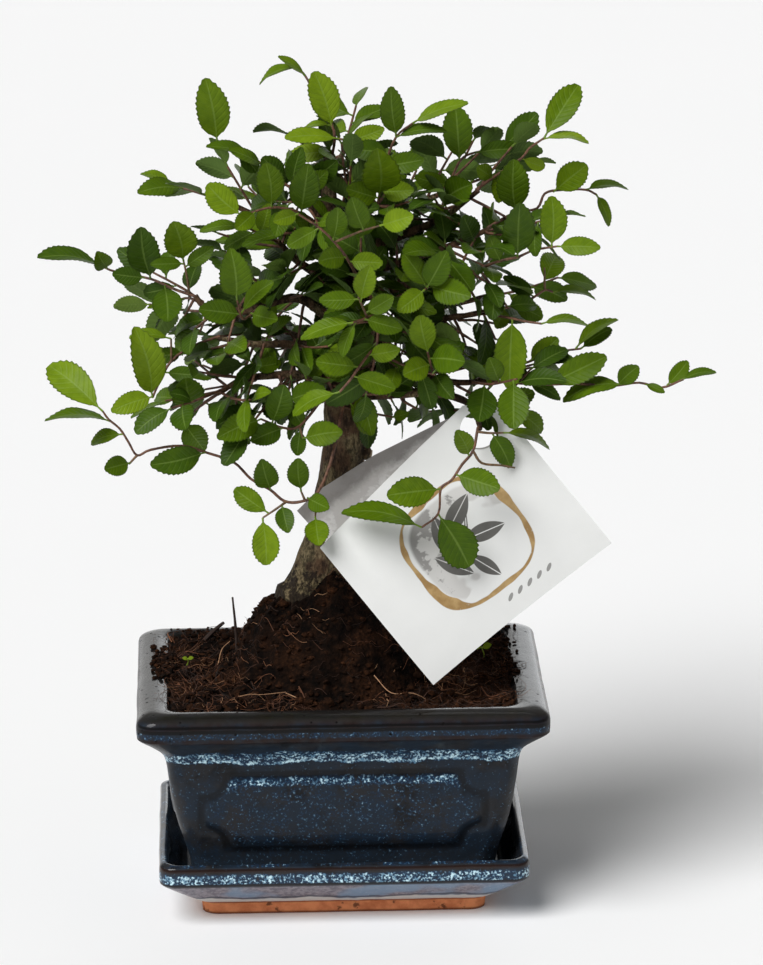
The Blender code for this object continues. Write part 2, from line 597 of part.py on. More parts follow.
def new_object(name, points, faces, collection):
    """A mesh object from points in millimetres."""
    mesh = bpy.data.meshes.new(name)
    mesh.from_pydata([Vector(p) * MM for p in points], [], faces)
    mesh.update()
    obj = bpy.data.objects.new(name, mesh)
    collection.objects.link(obj)
    return obj


def faces_outward(obj):
    shape = bmesh.new()
    shape.from_mesh(obj.data)
    bmesh.ops.recalc_face_normals(shape, faces=shape.faces)
    shape.to_mesh(obj.data)
    shape.free()


def rounded_rectangle(half_long, half_short, corner, z, corner_steps=2, side_steps=1):
    """One level loop of points, anticlockwise from above."""
    loop = []
    for k, (sx, sy) in enumerate(((1, -1), (1, 1), (-1, 1), (-1, -1))):
        cx, cy = sx * (half_long - corner), sy * (half_short - corner)
        for i in range(corner_steps + 1):
            angle = math.radians(-90 + 90 * k + 90 * i / corner_steps)
            loop.append(Vector((cx + corner * math.cos(angle), cy + corner * math.sin(angle), z)))
    if side_steps == 1:
        return loop
    full = []
    for i, place in enumerate(loop):
        full.append(place)
        if i % (corner_steps + 1) == corner_steps:
            ahead = loop[(i + 1) % len(loop)]
            full += [place.lerp(ahead, s / side_steps) for s in range(1, side_steps)]
    return full


def loft(name, loops, collection, ring=False):
    """Skin between loops of equally many points: capped at both ends, or joined round into a ring."""
    count = len(loops[0])
    points = [p for loop in loops for p in loop]
    faces = []
    for i in range(len(loops) - (0 if ring else 1)):
        j = (i + 1) % len(loops)
        for k in range(count):
            n = (k + 1) % count
            faces.append((i * count + k, i * count + n, j * count + n, j * count + k))
    if not ring:
        faces.append(tuple(reversed(range(count))))
        faces.append(tuple(range((len(loops) - 1) * count, len(loops) * count)))
    obj = new_object(name, points, faces, collection)
    faces_outward(obj)
    return obj


def wire(name, route, radii, sides_step, collection):
    """A round stem along a route: a curve with filled caps, made a mesh whose caps are welded."""
    curve = bpy.data.curves.new(name, "CURVE")
    curve.dimensions = "3D"
    curve.bevel_depth = MM
    curve.bevel_resolution = sides_step
    curve.use_fill_caps = True
    spline = curve.splines.new("POLY")
    spline.points.add(len(route) - 1)
    for point, place, radius in zip(spline.points, route, radii):
        point.co = (*(place * MM), 1)
        point.radius = radius
    stem = bpy.data.objects.new(name + " curve", curve)
    collection.objects.link(stem)
    graph = bpy.context.evaluated_depsgraph_get()
    mesh = bpy.data.meshes.new_from_object(stem.evaluated_get(graph))
    shape = bmesh.new()
    shape.from_mesh(mesh)
    bmesh.ops.remove_doubles(shape, verts=shape.verts, dist=0.00001)
    bmesh.ops.recalc_face_normals(shape, faces=shape.faces)
    shape.to_mesh(mesh)
    shape.free()
    solid = bpy.data.objects.new(name, mesh)
    solid.matrix_world = stem.matrix_world
    collection.objects.link(solid)
    bpy.data.objects.remove(stem)
    return solid


def apply_boolean(obj, operation, other=None, collection=None):
    """Cuts or joins once and keeps the resulting mesh."""
    change = obj.modifiers.new(operation.lower(), "BOOLEAN")
    change.operation = operation
    change.solver = "EXACT"
    if collection:
        change.operand_type = "COLLECTION"
        change.collection = collection
    else:
        change.object = other
    graph = bpy.context.evaluated_depsgraph_get()
    mesh = bpy.data.meshes.new_from_object(obj.evaluated_get(graph))
    obj.modifiers.clear()
    shape = bmesh.new()
    shape.from_mesh(mesh)
    bmesh.ops.dissolve_limit(shape, angle_limit=FLAT_ENOUGH, verts=shape.verts, edges=shape.edges)
    shape.to_mesh(mesh)
    shape.free()
    obj.data = mesh


def join_all(obj, pieces):
    """One union of an object with every piece of a collection, which is then emptied and removed."""
    if pieces.objects:
        apply_boolean(obj, "UNION", collection=pieces)
    for piece in list(pieces.objects):
        bpy.data.objects.remove(piece)
    bpy.data.collections.remove(pieces)


def loose_collection(name):
    made = bpy.data.collections.new(name)
    bpy.context.scene.collection.children.link(made)
    return made


def box(name, low, high, collection):
    """A plain block between two corners, in millimetres."""
    shape = bmesh.new()
    bmesh.ops.create_cube(shape, size=1)
    for vert in shape.verts:
        vert.co = Vector([(low[k] + (vert.co[k] + 0.5) * (high[k] - low[k])) * MM for k in range(3)])
    mesh = bpy.data.meshes.new(name)
    shape.to_mesh(mesh)
    shape.free()
    obj = bpy.data.objects.new(name, mesh)
    collection.objects.link(obj)
    return obj


def rod(name, radius, start, end, sides, collection):
    """A straight round rod between two places, in millimetres."""
    start, end = Vector(start), Vector(end)
    shape = bmesh.new()
    bmesh.ops.create_cone(shape, cap_ends=True, segments=sides, radius1=radius * MM, radius2=radius * MM,
                          depth=(end - start).length * MM)
    mesh = bpy.data.meshes.new(name)
    shape.to_mesh(mesh)
    shape.free()
    obj = bpy.data.objects.new(name, mesh)
    collection.objects.link(obj)
    turn = (end - start).to_track_quat("Z", "Y").to_matrix().to_4x4()
    obj.matrix_world = Matrix.Translation((start + end) / 2 * MM) @ turn
    return obj


def panel_outline(half_long):
    """Panel corners scooped out by quarter circles, as (across, up) points."""
    outline = []
    scoop = PANEL_SCOOP
    corners = ((half_long, PANEL_LOW, 180), (half_long, PANEL_HIGH, 270), (-half_long, PANEL_HIGH, 0),
               (-half_long, PANEL_LOW, 90))
    for across, up, begin in corners:
        for i in range(4):
            angle = math.radians(begin - 30 * i)
            outline.append((across + scoop * math.cos(angle), up + scoop * math.sin(angle)))
    return outline


def panel_prism(name, half_long, reach, along_x, collection):
    """The panel's outline pushed right through the pot."""
    loops = []
    for end in (-reach, reach):
        loops.append([Vector((end, a, u) if along_x else (a, end, u)) for a, u in panel_outline(half_long)])
    return loft(name, loops, collection)


def make_pot(collection):
    def level(z, half, grow=0.0):
        half += grow
        return rounded_rectangle(half, half - POT_NARROWER, POT_CORNER + grow, z)

    pot = loft("pot", [level(z, h) for z, h in POT_WALL_OUT + POT_WALL_IN], collection)
    cutters = loose_collection("pot cutters")
    wall = [(z, h) for z, h in POT_WALL_OUT if PANEL_LOW - 10 < z < PANEL_HIGH + 10]
    for label, along_x, half in (("long", False, PANEL_HALF_LONG), ("short", True, PANEL_HALF_SHORT)):
        skin = loft("panel " + label, [level(z, h, PANEL_PROUD) for z, h in wall]
                    + [level(z, h, -2.0) for z, h in reversed(wall)], cutters, ring=True)
        prism = panel_prism("outline " + label, half, 90, along_x, cutters)
        apply_boolean(skin, "INTERSECT", prism)
        apply_boolean(pot, "UNION", skin)
    foot_x, foot_y = FOOT_CHANNELS
    foot_top = POT_WALL_OUT[0][0] + POT_FOOT
    apply_boolean(pot, "DIFFERENCE", box("channel x", (-90, -foot_y, 0), (90, foot_y, foot_top), cutters))
    apply_boolean(pot, "DIFFERENCE", box("channel y", (-foot_x, -90, 0), (foot_x, 90, foot_top), cutters))
    for side in (-1, 1):
        drain = rod("drain", DRAIN_RADIUS, (side * DRAIN_X, 0, 5), (side * DRAIN_X, 0, 20), 16, cutters)
        apply_boolean(pot, "DIFFERENCE", drain)
    drop_all(cutters)
    return pot


def drop_all(collection):
    for obj in list(collection.objects):
        bpy.data.objects.remove(obj)
    bpy.data.collections.remove(collection)


def make_saucer(collection):
    loops = [rounded_rectangle(h, h - SAUCER_NARROWER, SAUCER_CORNER, z) for z, h in SAUCER_WALL]
    return loft("saucer", loops, collection)


def heap_height(x, y):
    """How far the root ball stands above the pot's rim level at a place."""
    u, v = (x - HEAP_CENTRE[0]) / HEAP_RADII[0], (y - HEAP_CENTRE[1]) / HEAP_RADII[1]
    rough = 1.1 * math.sin(0.31 * x + 1.3) * math.cos(0.37 * y) + 0.8 * math.sin(0.53 * x - 0.41 * y)
    return HEAP_TOP * math.exp(-((u * u + v * v) ** HEAP_STEEPNESS)) + rough


def make_soil(collection):
    def level(z, half):
        return rounded_rectangle(half - FIT, half - POT_NARROWER - FIT, POT_CORNER - FIT, z, 2, 4)

    walls = [(z, h) for z, h in reversed(POT_WALL_IN) if z < SOIL_EDGE]
    loops = [level(max(z, SOIL_BOTTOM), h) for z, h in walls]
    edge = loops[-1]
    for part in SOIL_RINGS:
        loops.append([Vector((p.x * part, p.y * part, SOIL_EDGE + heap_height(p.x * part, p.y * part)))
                      for p in edge])
    soil = loft("soil", loops, collection)
    (place, radius), top = TRUNK_ROUTE[0], TRUNK_ROUTE[1][0]
    cutters = loose_collection("soil cutter")
    wide = (radius + FIT) / math.cos(math.pi / TRUNK_SIDES)
    hole = rod("trunk hole", wide, (*place[:2], place[2] - FIT), (*top[:2], top[2] + 20),
               TRUNK_SIDES, cutters)
    apply_boolean(soil, "DIFFERENCE", hole)
    drop_all(cutters)
    return soil


def make_trunk(routes, collection):
    loops = []
    for i, (place, radius) in enumerate(TRUNK_ROUTE):
        place = Vector(place)
        loop = []
        for k in range(TRUNK_SIDES):
            angle = math.tau * (k + 0.5) / TRUNK_SIDES
            swell = 1 if i < 2 else 1 + 0.05 * math.sin(3 * angle + 0.6 * i)
            loop.append(place + Vector((math.cos(angle), math.sin(angle), 0)) * radius * swell)
        loops.append(loop)
    trunk = loft("trunk", loops, collection)
    pieces = loose_collection("branches")
    for i, (route, radii) in enumerate(routes[1:]):
        wire("branch %d" % i, route, radii, 0, pieces)
    wire("pruned stub", [Vector(p) for p in STUB_ROUTE], taper(STUB_RADII, len(STUB_ROUTE)), 1, pieces)
    join_all(trunk, pieces)
    return trunk


def make_spray(name, twigs, leaves, collection):
    spray = wire("spray_" + name, twigs[0], taper(TWIG_RADII, len(twigs[0])), 0, collection)
    pieces = loose_collection("pieces of " + name)
    for i, twig in enumerate(twigs[1:]):
        radii = [r * 0.85 for r in taper(TWIG_RADII, len(twig))]
        wire("side twig %d" % i, twig, radii, 0, pieces)
    for i, leaf in enumerate(leaves):
        new_object("leaf %d" % i, *blade(leaf, leaf_outline(leaf), LEAF_THICK), pieces)
    for piece in pieces.objects:
        faces_outward(piece)
    join_all(spray, pieces)
    return spray


def plate(name, corners, inward, collection):
    """A flat or curled sheet of paper: its corner loop, pushed by its thickness."""
    shape = bmesh.new()
    verts = [shape.verts.new(p * MM) for p in corners]
    for i in range(1, len(verts) - 1):
        shape.faces.new((verts[0], verts[i], verts[i + 1]))
    pushed = bmesh.ops.extrude_face_region(shape, geom=list(shape.faces))
    new_verts = [g for g in pushed["geom"] if isinstance(g, bmesh.types.BMVert)]
    bmesh.ops.translate(shape, verts=new_verts, vec=inward * MM)
    bmesh.ops.recalc_face_normals(shape, faces=shape.faces)
    mesh = bpy.data.meshes.new(name)
    shape.to_mesh(mesh)
    shape.free()
    obj = bpy.data.objects.new(name, mesh)
    collection.objects.link(obj)
    return obj


def make_card(collection):
    front, back = card_shells()
    backward = (front[2] - front[1]).cross(front[0] - front[1]).normalized()
    backward = backward if backward.y > 0 else -backward
    card = plate("label_card", front, backward * CARD_THICK, collection)
    cutters = loose_collection("card cutters")
    sheet = plate("card back leaf", back, backward * CARD_THICK, cutters)
    apply_boolean(card, "UNION", sheet)
    centre = Vector(CARD_HOLE)
    hole = rod("hang hole", CARD_HOLE_RADIUS, centre - backward * 15, centre + backward * 15, 20, cutters)
    apply_boolean(card, "DIFFERENCE", hole)
    drop_all(cutters)
    return card


def finish(obj, colour, roughness, round_edges=40):
    obj.data.materials.clear()
    obj.data.materials.append(material(obj.name + " finish", colour, roughness))
    obj.data.shade_smooth()
    obj.data.set_sharp_from_angle(angle=math.radians(round_edges))


def main():
    for obj in list(bpy.data.objects):
        bpy.data.objects.remove(obj)
    bonsai = loose_collection("mini_bonsai")
    routes = wood_routes()
    trunk = make_trunk(routes, bonsai)
    sprays = plan_crown(routes, surface_of(trunk))
    finish(trunk, COLOURS["trunk"], 0.8)
    finish(make_saucer(bonsai), COLOURS["saucer"], 0.18)
    finish(make_pot(bonsai), COLOURS["pot"], 0.16)
    finish(make_soil(bonsai), COLOURS["soil"], 0.95)
    finish(make_card(bonsai), COLOURS["label_card"], 0.7, 20)
    for name, twigs, leaves in sprays:
        finish(make_spray(name, twigs, leaves, bonsai), COLOURS["spray"], 0.45, 25)


main()
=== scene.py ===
"""The finished look of a mini bonsai: a small-leaved elm in a speckle-glazed pot on its saucer.

Every piece stands where the solid frame has it. Places and sizes here are in millimetres: the middle of the
saucer's foot is the origin, +X is right, +Y is to the back and +Z is up.
"""

import math
import random
from collections import namedtuple

import bmesh
import bpy
import numpy as np
from mathutils import Matrix, Vector, noise
from mathutils.bvhtree import BVHTree
from mathutils.geometry import delaunay_2d_cdt


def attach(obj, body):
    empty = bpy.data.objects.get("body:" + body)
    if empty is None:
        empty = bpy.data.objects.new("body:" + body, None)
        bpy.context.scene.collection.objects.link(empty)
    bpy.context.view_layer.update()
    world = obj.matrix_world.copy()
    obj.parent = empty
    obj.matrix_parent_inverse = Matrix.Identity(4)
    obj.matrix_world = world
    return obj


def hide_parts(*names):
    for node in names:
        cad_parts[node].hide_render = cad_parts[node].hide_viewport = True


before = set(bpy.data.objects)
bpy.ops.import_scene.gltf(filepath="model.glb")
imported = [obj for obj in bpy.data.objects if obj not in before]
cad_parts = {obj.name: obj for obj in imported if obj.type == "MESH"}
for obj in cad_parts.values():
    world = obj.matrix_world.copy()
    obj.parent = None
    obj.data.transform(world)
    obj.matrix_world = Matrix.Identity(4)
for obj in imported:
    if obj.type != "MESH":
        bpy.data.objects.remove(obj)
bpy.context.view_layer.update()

MM = 0.001
FIT = 0.3
NO_MARK = (0.0, 0.0, 0.0)

# Pot: half of its length at each height, outside from the foot up and over the lip, then inside and down
POT_WALL_OUT = [
    (12.0, 55.2), (24.0, 57.2), (37.0, 60.6), (50.0, 63.0), (61.0, 64.4), (65.5, 66.0), (69.5, 69.8),
    (73.6, 74.4), (75.0, 75.0), (79.0, 75.1), (81.3, 74.3), (82.8, 72.4), (83.6, 69.6), (83.5, 67.2),
    (82.9, 65.7),
]
POT_WALL_IN = [(82.0, 65.1), (80.0, 64.4), (74.0, 60.6), (71.0, 58.6), (43.0, 55.0), (18.0, 50.8)]
POT_NARROWER = 19.0
POT_CORNER = 7.0
POT_FOOT = 3.0
FOOT_CHANNELS = (34.0, 19.0)
DRAIN_RADIUS, DRAIN_X, DRAIN_HEIGHTS = 5.0, 18.0, (5, 20)
DRAIN_STEPS = 32
# How far from the middle the blocks reach that cut the channels between the feet
PAST_POT = 90.0
# The opening's ends stand nearer in by this share, which comes in between these heights and half lengths
MOUTH_NARROWING, MOUTH_HEIGHTS, MOUTH_WALLS = 0.026, (72, 80), (71, 66)
# Uneven walls: how far they wander in and out, and how far out the lip and the saucer's rim may go
POT_WANDER, SAUCER_WANDER, WIDEST_WANDER = 0.35, 0.25, 0.10
LIP_FROM = 74
# Side panels: how proud, their heights and half lengths, their scooped corners, and the groove round them
PANEL_PROUD = 1.0
PANEL_LOW, PANEL_HIGH = 28.5, 56.5
PANEL_HALF_LONG, PANEL_HALF_SHORT = 50.5, 31.0
PANEL_SCOOP, PANEL_SOFT = 9.0, 0.9
PANEL_EDGE = (-1.0, 1.6)
GROOVE_DEEP, GROOVE_OUT, GROOVE_HALF = 0.5, 1.8, 2.4

# Saucer: half of its length at each height, from the foot up and over the rim to the floor
SAUCER_WALL = [
    (0.0, 52.2), (4.6, 52.9), (6.0, 55.2), (10.2, 60.4), (14.6, 65.8), (16.2, 67.5), (17.4, 68.0),
    (22.4, 68.0), (23.9, 67.0), (23.4, 64.8), (14.6, 61.0), (12.2, 58.4), (11.7, 56.6),
]
SAUCER_NARROWER = 18.0
SAUCER_CORNER = 6.0

# Soil: its edge in the pot, and the root ball's heap round the trunk
SOIL_BOTTOM = 18.3
SOIL_EDGE = 82.0
HEAP_TOP = 27.0
HEAP_CENTRE = (-2.0, 2.0)
HEAP_RADII = (36.0, 28.0)
HEAP_STEEPNESS = 3.5

# Trunk: places on its middle line with its radius there
TRUNK_ROUTE = [
    ((-10, 1.5, 85), 12.0), ((-10, 1.5, 112), 12.0), ((-8.8, 0.5, 118), 10.0), ((-4, 0, 133), 8.7),
    ((-0.5, 0, 150), 8.2), ((2.5, 0, 170), 8.1), ((4, 0, 187), 7.9), ((4.6, 2, 205), 6.9),
    ((3, 3, 225), 5.4), ((0, 4, 245), 4.1), ((-2, 4, 263), 2.9), ((-2, 3, 277), 1.7),
]
STUB_ROUTE = [(3, 0, 168), (9, -1.5, 167), (13.5, -2.5, 166.5)]
STUB_RADII = (3.2, 2.6)

# Branches: routes from the trunk's middle, and the thickness of each at its two ends
BRANCH_RADII = (2.2, 0.9)
BRANCHES = {
    "left_high": [(4.5, 2, 210), (-13, 0, 225), (-33, -4, 222), (-47, -5, 224), (-51, -5, 228)],
    "left_mid": [(4, 1, 201), (-13, -3, 208), (-30, -6, 210), (-43, -8, 213)],
    "left_lower": [(3.7, -1, 195), (-16, -6, 198), (-33, -10, 198), (-44, -12, 193)],
    "left_low": [(3.4, -2, 190), (-4, -10, 191), (-6, -12, 189)],
    "left_top": [(1.2, 3.5, 235), (-3, -3, 251), (-12, -7, 265)],
    "left_back": [(3, 3, 227), (-12, 3, 237), (-21, -5, 248)],
    "top_mid": [(-1, 4, 253), (10, -1, 256), (16, -4, 261)],
    "top_right": [(0.5, 4, 241), (20, 3, 246), (38, 0, 254), (52, -3, 265)],
    "right_high_b": [(2, 3, 231), (23, -1, 238), (41, -5, 245), (56, -8, 252)],
    "right_high": [(3.5, 2, 223), (23, -5, 230), (38, -10, 233), (52, -13, 238)],
    "right_mid": [(4.5, 2, 213), (23, -4, 217), (41, -8, 219), (57, -10, 222)],
    "right_low": [(4, 1, 197), (23, -6, 199), (41, -12, 196), (57, -15, 197)],
    "card_branch": [
        (4, -1, 188), (21, -12, 192), (36, -17, 193), (46, -18, 190.5), (49.9, -22, 185.8), (50.6, -32, 184),
    ],
    "front_mid": [(4, -1, 219), (10, -18, 232), (8, -31, 240)],
    "front_low_mid": [(4.5, -1, 207), (16, -20, 219), (14, -34, 227)],
    "front_low": [(4, -2, 198), (13, -18, 207), (13, -32, 215)],
    "back_left_high": [(2, 4, 235), (-16, 20, 245), (-36, 34, 252)],
    "back_left_low": [(4, 1, 200), (-16, 18, 207), (-42, 34, 212)],
    "back_right_high": [(0.5, 4, 243), (22, 22, 251), (44, 34, 257)],
    "back_right_low": [(4, 1, 205), (28, 18, 213), (56, 30, 217)],
    "back_mid": [(4, 2, 217), (8, 26, 227), (4, 48, 235)],
    "back_top": [(-2, 4, 259), (0, 16, 268), (4, 28, 273)],
    "back_low": [(3.5, 0, 191), (2, 20, 197), (-6, 40, 200)],
}

# Sprays that the front shows. First each spray's twigs, as (x, y, z) places. Then its leaves:
# x and z where a leaf joins, x and z of its tip, and how broad it looks from the front.
FRONT_SPRAYS = {
    "left_high": (
        [[(-52, -5, 229), (-59, -2, 230), (-67, 1, 233), (-80, 5, 235), (-85, 6, 237)],
         [(-53, -5, 230), (-54, -6, 236), (-55, -5, 241)]],
        [(-84, 237, -108, 240, 5), (-83, 236, -88, 245, 8), (-69, 234, -81, 235, 7),
         (-67, 234, -70, 251, 12), (-62, 231, -61, 216, 11), (-55, 241, -58, 254, 12),
         (-54, 239, -44, 246, 6), (-55, 240, -67, 240, 5)],
    ),
    "left_upper": (
        [[(-27, -10, 221), (-34, -20, 223), (-36, -27, 232)]],
        [(-36, 232, -38, 250, 12), (-33, 226, -23, 237, 6), (-31, 222, -22, 220, 8),
         (-35, 225, -50, 227, 9)],
    ),
    "left_inner": (
        [[(-22, -6, 249), (-27, -11, 252), (-32, -17, 256)]],
        [(-32, 256, -49, 255, 4), (-29, 254, -41, 248, 6), (-27, 252, -24, 263, 7)],
    ),
    "left_mid": (
        [[(-44, -8, 214), (-52, -12, 211), (-60, -17, 207), (-65, -21, 199), (-67, -23, 195)],
         [(-60, -17, 207), (-60, -16, 215)]],
        [(-60, 215, -75, 216, 4), (-68, 195, -72, 220, 12), (-66, 195, -82, 190, 8),
         (-56, 210, -68, 208, 6), (-62, 203, -51, 202, 6)],
    ),
    "left_lower": (
        [[(-45, -12, 192), (-52, -6, 185), (-58, 1, 176)]],
        [(-52, 184, -55, 197, 12), (-56, 179, -49, 169, 10), (-48, 189, -38, 182, 7)],
    ),
    "low_left": (
        [[(3, -10, 191), (0, -18, 181), (-3, -24, 170), (-8, -29, 160), (-14, -30, 157),
         (-20, -29, 157), (-25, -28, 161), (-32, -27, 165), (-38, -26, 171), (-47, -24, 174),
         (-57, -24, 177), (-68, -25, 176), (-73, -25, 174), (-76, -25, 179), (-79, -25, 184),
         (-83, -26, 188), (-85, -26, 191)], [(-73, -25, 174), (-76, -26, 171)], [(-19, -29, 157),
         (-23, -32, 155), (-28, -33, 152)], [(-13, -29, 158), (-14, -30, 161)], [(-8, -29, 160),
         (-9, -33, 152)]],
        [(-86, 191, -105, 210, 12), (-82, 187, -106, 188, 3), (-78, 182, -90, 179, 5),
         (-75, 171, -85, 169, 8), (-48, 175, -68, 170, 10), (-26, 154, -38, 163, 8),
         (-28, 152, -27, 134, 10), (-21, 156, -19, 146, 7), (-25, 161, -28, 172, 9),
         (-14, 161, -15, 173, 8), (-11, 157, -4, 154, 7), (-9, 152, -8, 141, 9)],
    ),
    "left_low": (
        [[(-7, -12, 188), (-14, -18, 182), (-20, -20, 182), (-28, -22, 186)], [(-14, -18, 182),
         (-13, -20, 178)]],
        [(-20, 181, -32, 177, 9), (-28, 186, -44, 179, 10), (-14, 181, -15, 171, 6),
         (-12, 178, 1, 180, 10), (-24, 184, -20, 197, 10)],
    ),
    "left_top": (
        [[(-13, -7, 269), (-22, -6, 272), (-28, -5, 278), (-35, -3, 281), (-42, -2, 284)]],
        [(-42, 284, -46, 307, 12), (-30, 279, -46, 283, 4), (-26, 276, -40, 280, 5),
         (-35, 281, -28, 273, 6), (-18, 270, -26, 279, 8), (-15, 269, -12, 282, 7)],
    ),
    "left_top_low": (
        [[(-4, -10, 252), (-13, -16, 261), (-23, -20, 264), (-34, -24, 262)]],
        [(-13, 260, -10, 277, 11), (-23, 264, -25, 280, 10), (-34, 262, -46, 274, 10),
         (-29, 263, -36, 256, 7), (-19, 262, -22, 252, 8), (-9, 257, -18, 255, 7)],
    ),
    "top_left": (
        [[(1, 0, 275), (0, 1, 287), (-6, 3, 299), (-10, 7, 306), (-13, 8, 309)], [(0, 0, 284),
         (6, -2, 284)]],
        [(0, 288, -7, 309, 11), (2, 284, -18, 284, 6), (-10, 306, -20, 313, 3),
         (-13, 309, -27, 304, 3), (-1, 289, -14, 291, 3), (6, 284, 18, 288, 7),
         (1, 279, -17, 278, 7)],
    ),
    "top_mid": (
        [[(16, -5, 262), (18, -9, 276), (22, -11, 287), (28, -11, 292)]],
        [(22, 287, 20, 305, 9), (22, 287, 40, 289, 4), (28, 292, 48, 298, 5),
         (19, 281, 6, 282, 8), (18, 276, 32, 278, 8), (17, 264, 15, 278, 14),
         (17, 263, 6, 266, 9), (17, 266, 28, 266, 10)],
    ),
    "top_right_inner": (
        [[(38, 0, 255), (40, 2, 262), (43, 4, 269), (46, 4, 275), (51, 6, 277), (61, 8, 278)]],
        [(45, 274, 44, 295, 11), (41, 266, 29, 269, 7), (51, 277, 67, 278, 7),
         (61, 278, 74, 291, 9), (40, 261, 53, 267, 11)],
    ),
    "top_right": (
        [[(52, -3, 266), (59, -7, 272), (67, -9, 278), (70, -10, 282), (75, -12, 286)]],
        [(75, 287, 88, 307, 10), (74, 286, 91, 285, 3), (57, 270, 51, 274, 7),
         (67, 278, 76, 275, 5), (62, 275, 59, 262, 6)],
    ),
    "right_high": (
        [[(53, -13, 239), (59, -16, 242), (65, -19, 244), (71, -21, 247), (79, -24, 249)]],
        [(65, 244, 65, 263, 12), (79, 249, 94, 248, 7), (77, 249, 77, 267, 10),
         (73, 248, 85, 262, 3), (59, 242, 55, 251, 7)],
    ),
    "right_high_b": (
        [[(56, -8, 253), (65, -5, 257), (73, -3, 258), (76, -1, 263), (82, 0, 264), (91, 4, 263),
         (95, 5, 261)]],
        [(65, 257, 64, 279, 12), (79, 264, 91, 273, 10), (91, 263, 107, 263, 3),
         (95, 261, 100, 249, 4), (63, 256, 59, 247, 7)],
    ),
    "right_mid": (
        [[(59, -9, 222), (67, -5, 223), (72, -3, 225), (76, -1, 227), (79, 0, 226)],
         [(76, -1, 227), (76, 1, 235)]],
        [(72, 225, 61, 233, 6), (79, 226, 95, 223, 3), (64, 223, 75, 218, 7),
         (61, 222, 55, 216, 7)],
    ),
    "right_mid_low": (
        [[(47, -9, 220), (54, -15, 222), (62, -21, 222), (67, -26, 222), (73, -30, 222)]],
        [(73, 222, 90, 222, 3), (63, 222, 62, 196, 12)],
    ),
    "right_low": (
        [[(50, -12, 197), (59, -11, 201), (68, -10, 202), (78, -7, 205), (89, -2, 205)]],
        [(89, 205, 101, 213, 6), (87, 205, 105, 209, 3), (70, 202, 80, 211, 9),
         (63, 199, 59, 208, 7)],
    ),
    "right_low_far": (
        [[(58, -15, 197), (66, -19, 197), (76, -21, 197), (87, -21, 197), (99, -21, 196),
         (109, -21, 197), (117, -21, 195), (125, -21, 198)]],
        [(76, 197, 97, 207, 10), (101, 196, 108, 203, 7), (104, 195, 81, 192, 6),
         (119, 196, 127, 205, 6), (124, 198, 137, 201, 3), (69, 196, 81, 191, 5),
         (111, 196, 118, 193, 3)],
    ),
    "right_low_front": (
        [[(48, -19, 196), (55, -27, 199), (64, -35, 203)]],
        [(63, 202, 62, 184, 12), (53, 198, 50, 184, 11), (58, 200, 54, 209, 7)],
    ),
    "card_front": (
        [[(49, -34, 184), (48, -37, 177), (44, -40, 173), (40, -43, 168), (36, -44, 165),
         (35, -45, 156), (29, -45, 151)], [(48, -37, 177), (51, -39, 173), (58, -39, 172),
         (63, -39, 171)], [(49, -34, 184), (54, -35, 183), (59, -35, 183)]],
        [(36, 165, 17, 163, 11), (41, 170, 57, 164, 10), (29, 151, 1, 150, 7),
         (35, 156, 46, 136, 14), (55, 183, 61, 171, 8), (47, 175, 42, 184, 7),
         (59, 183, 74, 174, 3)],
    ),
    "front_mid": (
        [[(7, -33, 241), (3, -39, 250), (-2, -41, 257), (-7, -42, 262), (-14, -43, 267)],
         [(-1, -41, 256), (8, -42, 260), (15, -42, 262)]],
        [(-7, 261, -18, 255, 7), (-1, 257, 0, 268, 8), (9, 261, 5, 272, 9), (15, 262, 26, 265, 9),
         (3, 250, -7, 248, 8), (4, 248, 16, 247, 8), (-14, 267, -23, 264, 6)],
    ),
    "front_low_mid": (
        [[(13, -36, 229), (9, -42, 228), (5, -47, 228)], [(11, -40, 228), (7, -46, 237)]],
        [(5, 228, -14, 223, 6), (6, 228, 1, 215, 5), (9, 228, 23, 224, 7), (7, 236, -7, 236, 7),
         (8, 235, 11, 247, 8), (10, 230, 20, 236, 7)],
    ),
    "front_low": (
        [[(13, -34, 216), (9, -39, 212), (4, -43, 206), (0, -45, 202)]],
        [(0, 202, -17, 194, 6), (5, 207, 20, 202, 8), (7, 210, -8, 212, 9),
         (10, 214, 22, 215, 8)],
    ),
    "front_right": (
        [[(38, -10, 234), (34, -22, 235), (31, -33, 236)]],
        [(32, 236, 39, 249, 10), (31, 236, 21, 228, 9), (33, 235, 47, 231, 10),
         (32, 235, 26, 245, 8)],
    ),
    "front_right_low": (
        [[(37, -12, 196), (34, -25, 204), (32, -33, 213)]],
        [(32, 212, 29, 226, 10), (33, 210, 44, 208, 11), (33, 207, 23, 203, 9),
         (35, 202, 41, 192, 8)],
    ),
}
FRONT_VIEW_DOWN = math.radians(16.6)
TO_VIEWER = Vector((0.0, -math.cos(FRONT_VIEW_DOWN), math.sin(FRONT_VIEW_DOWN)))

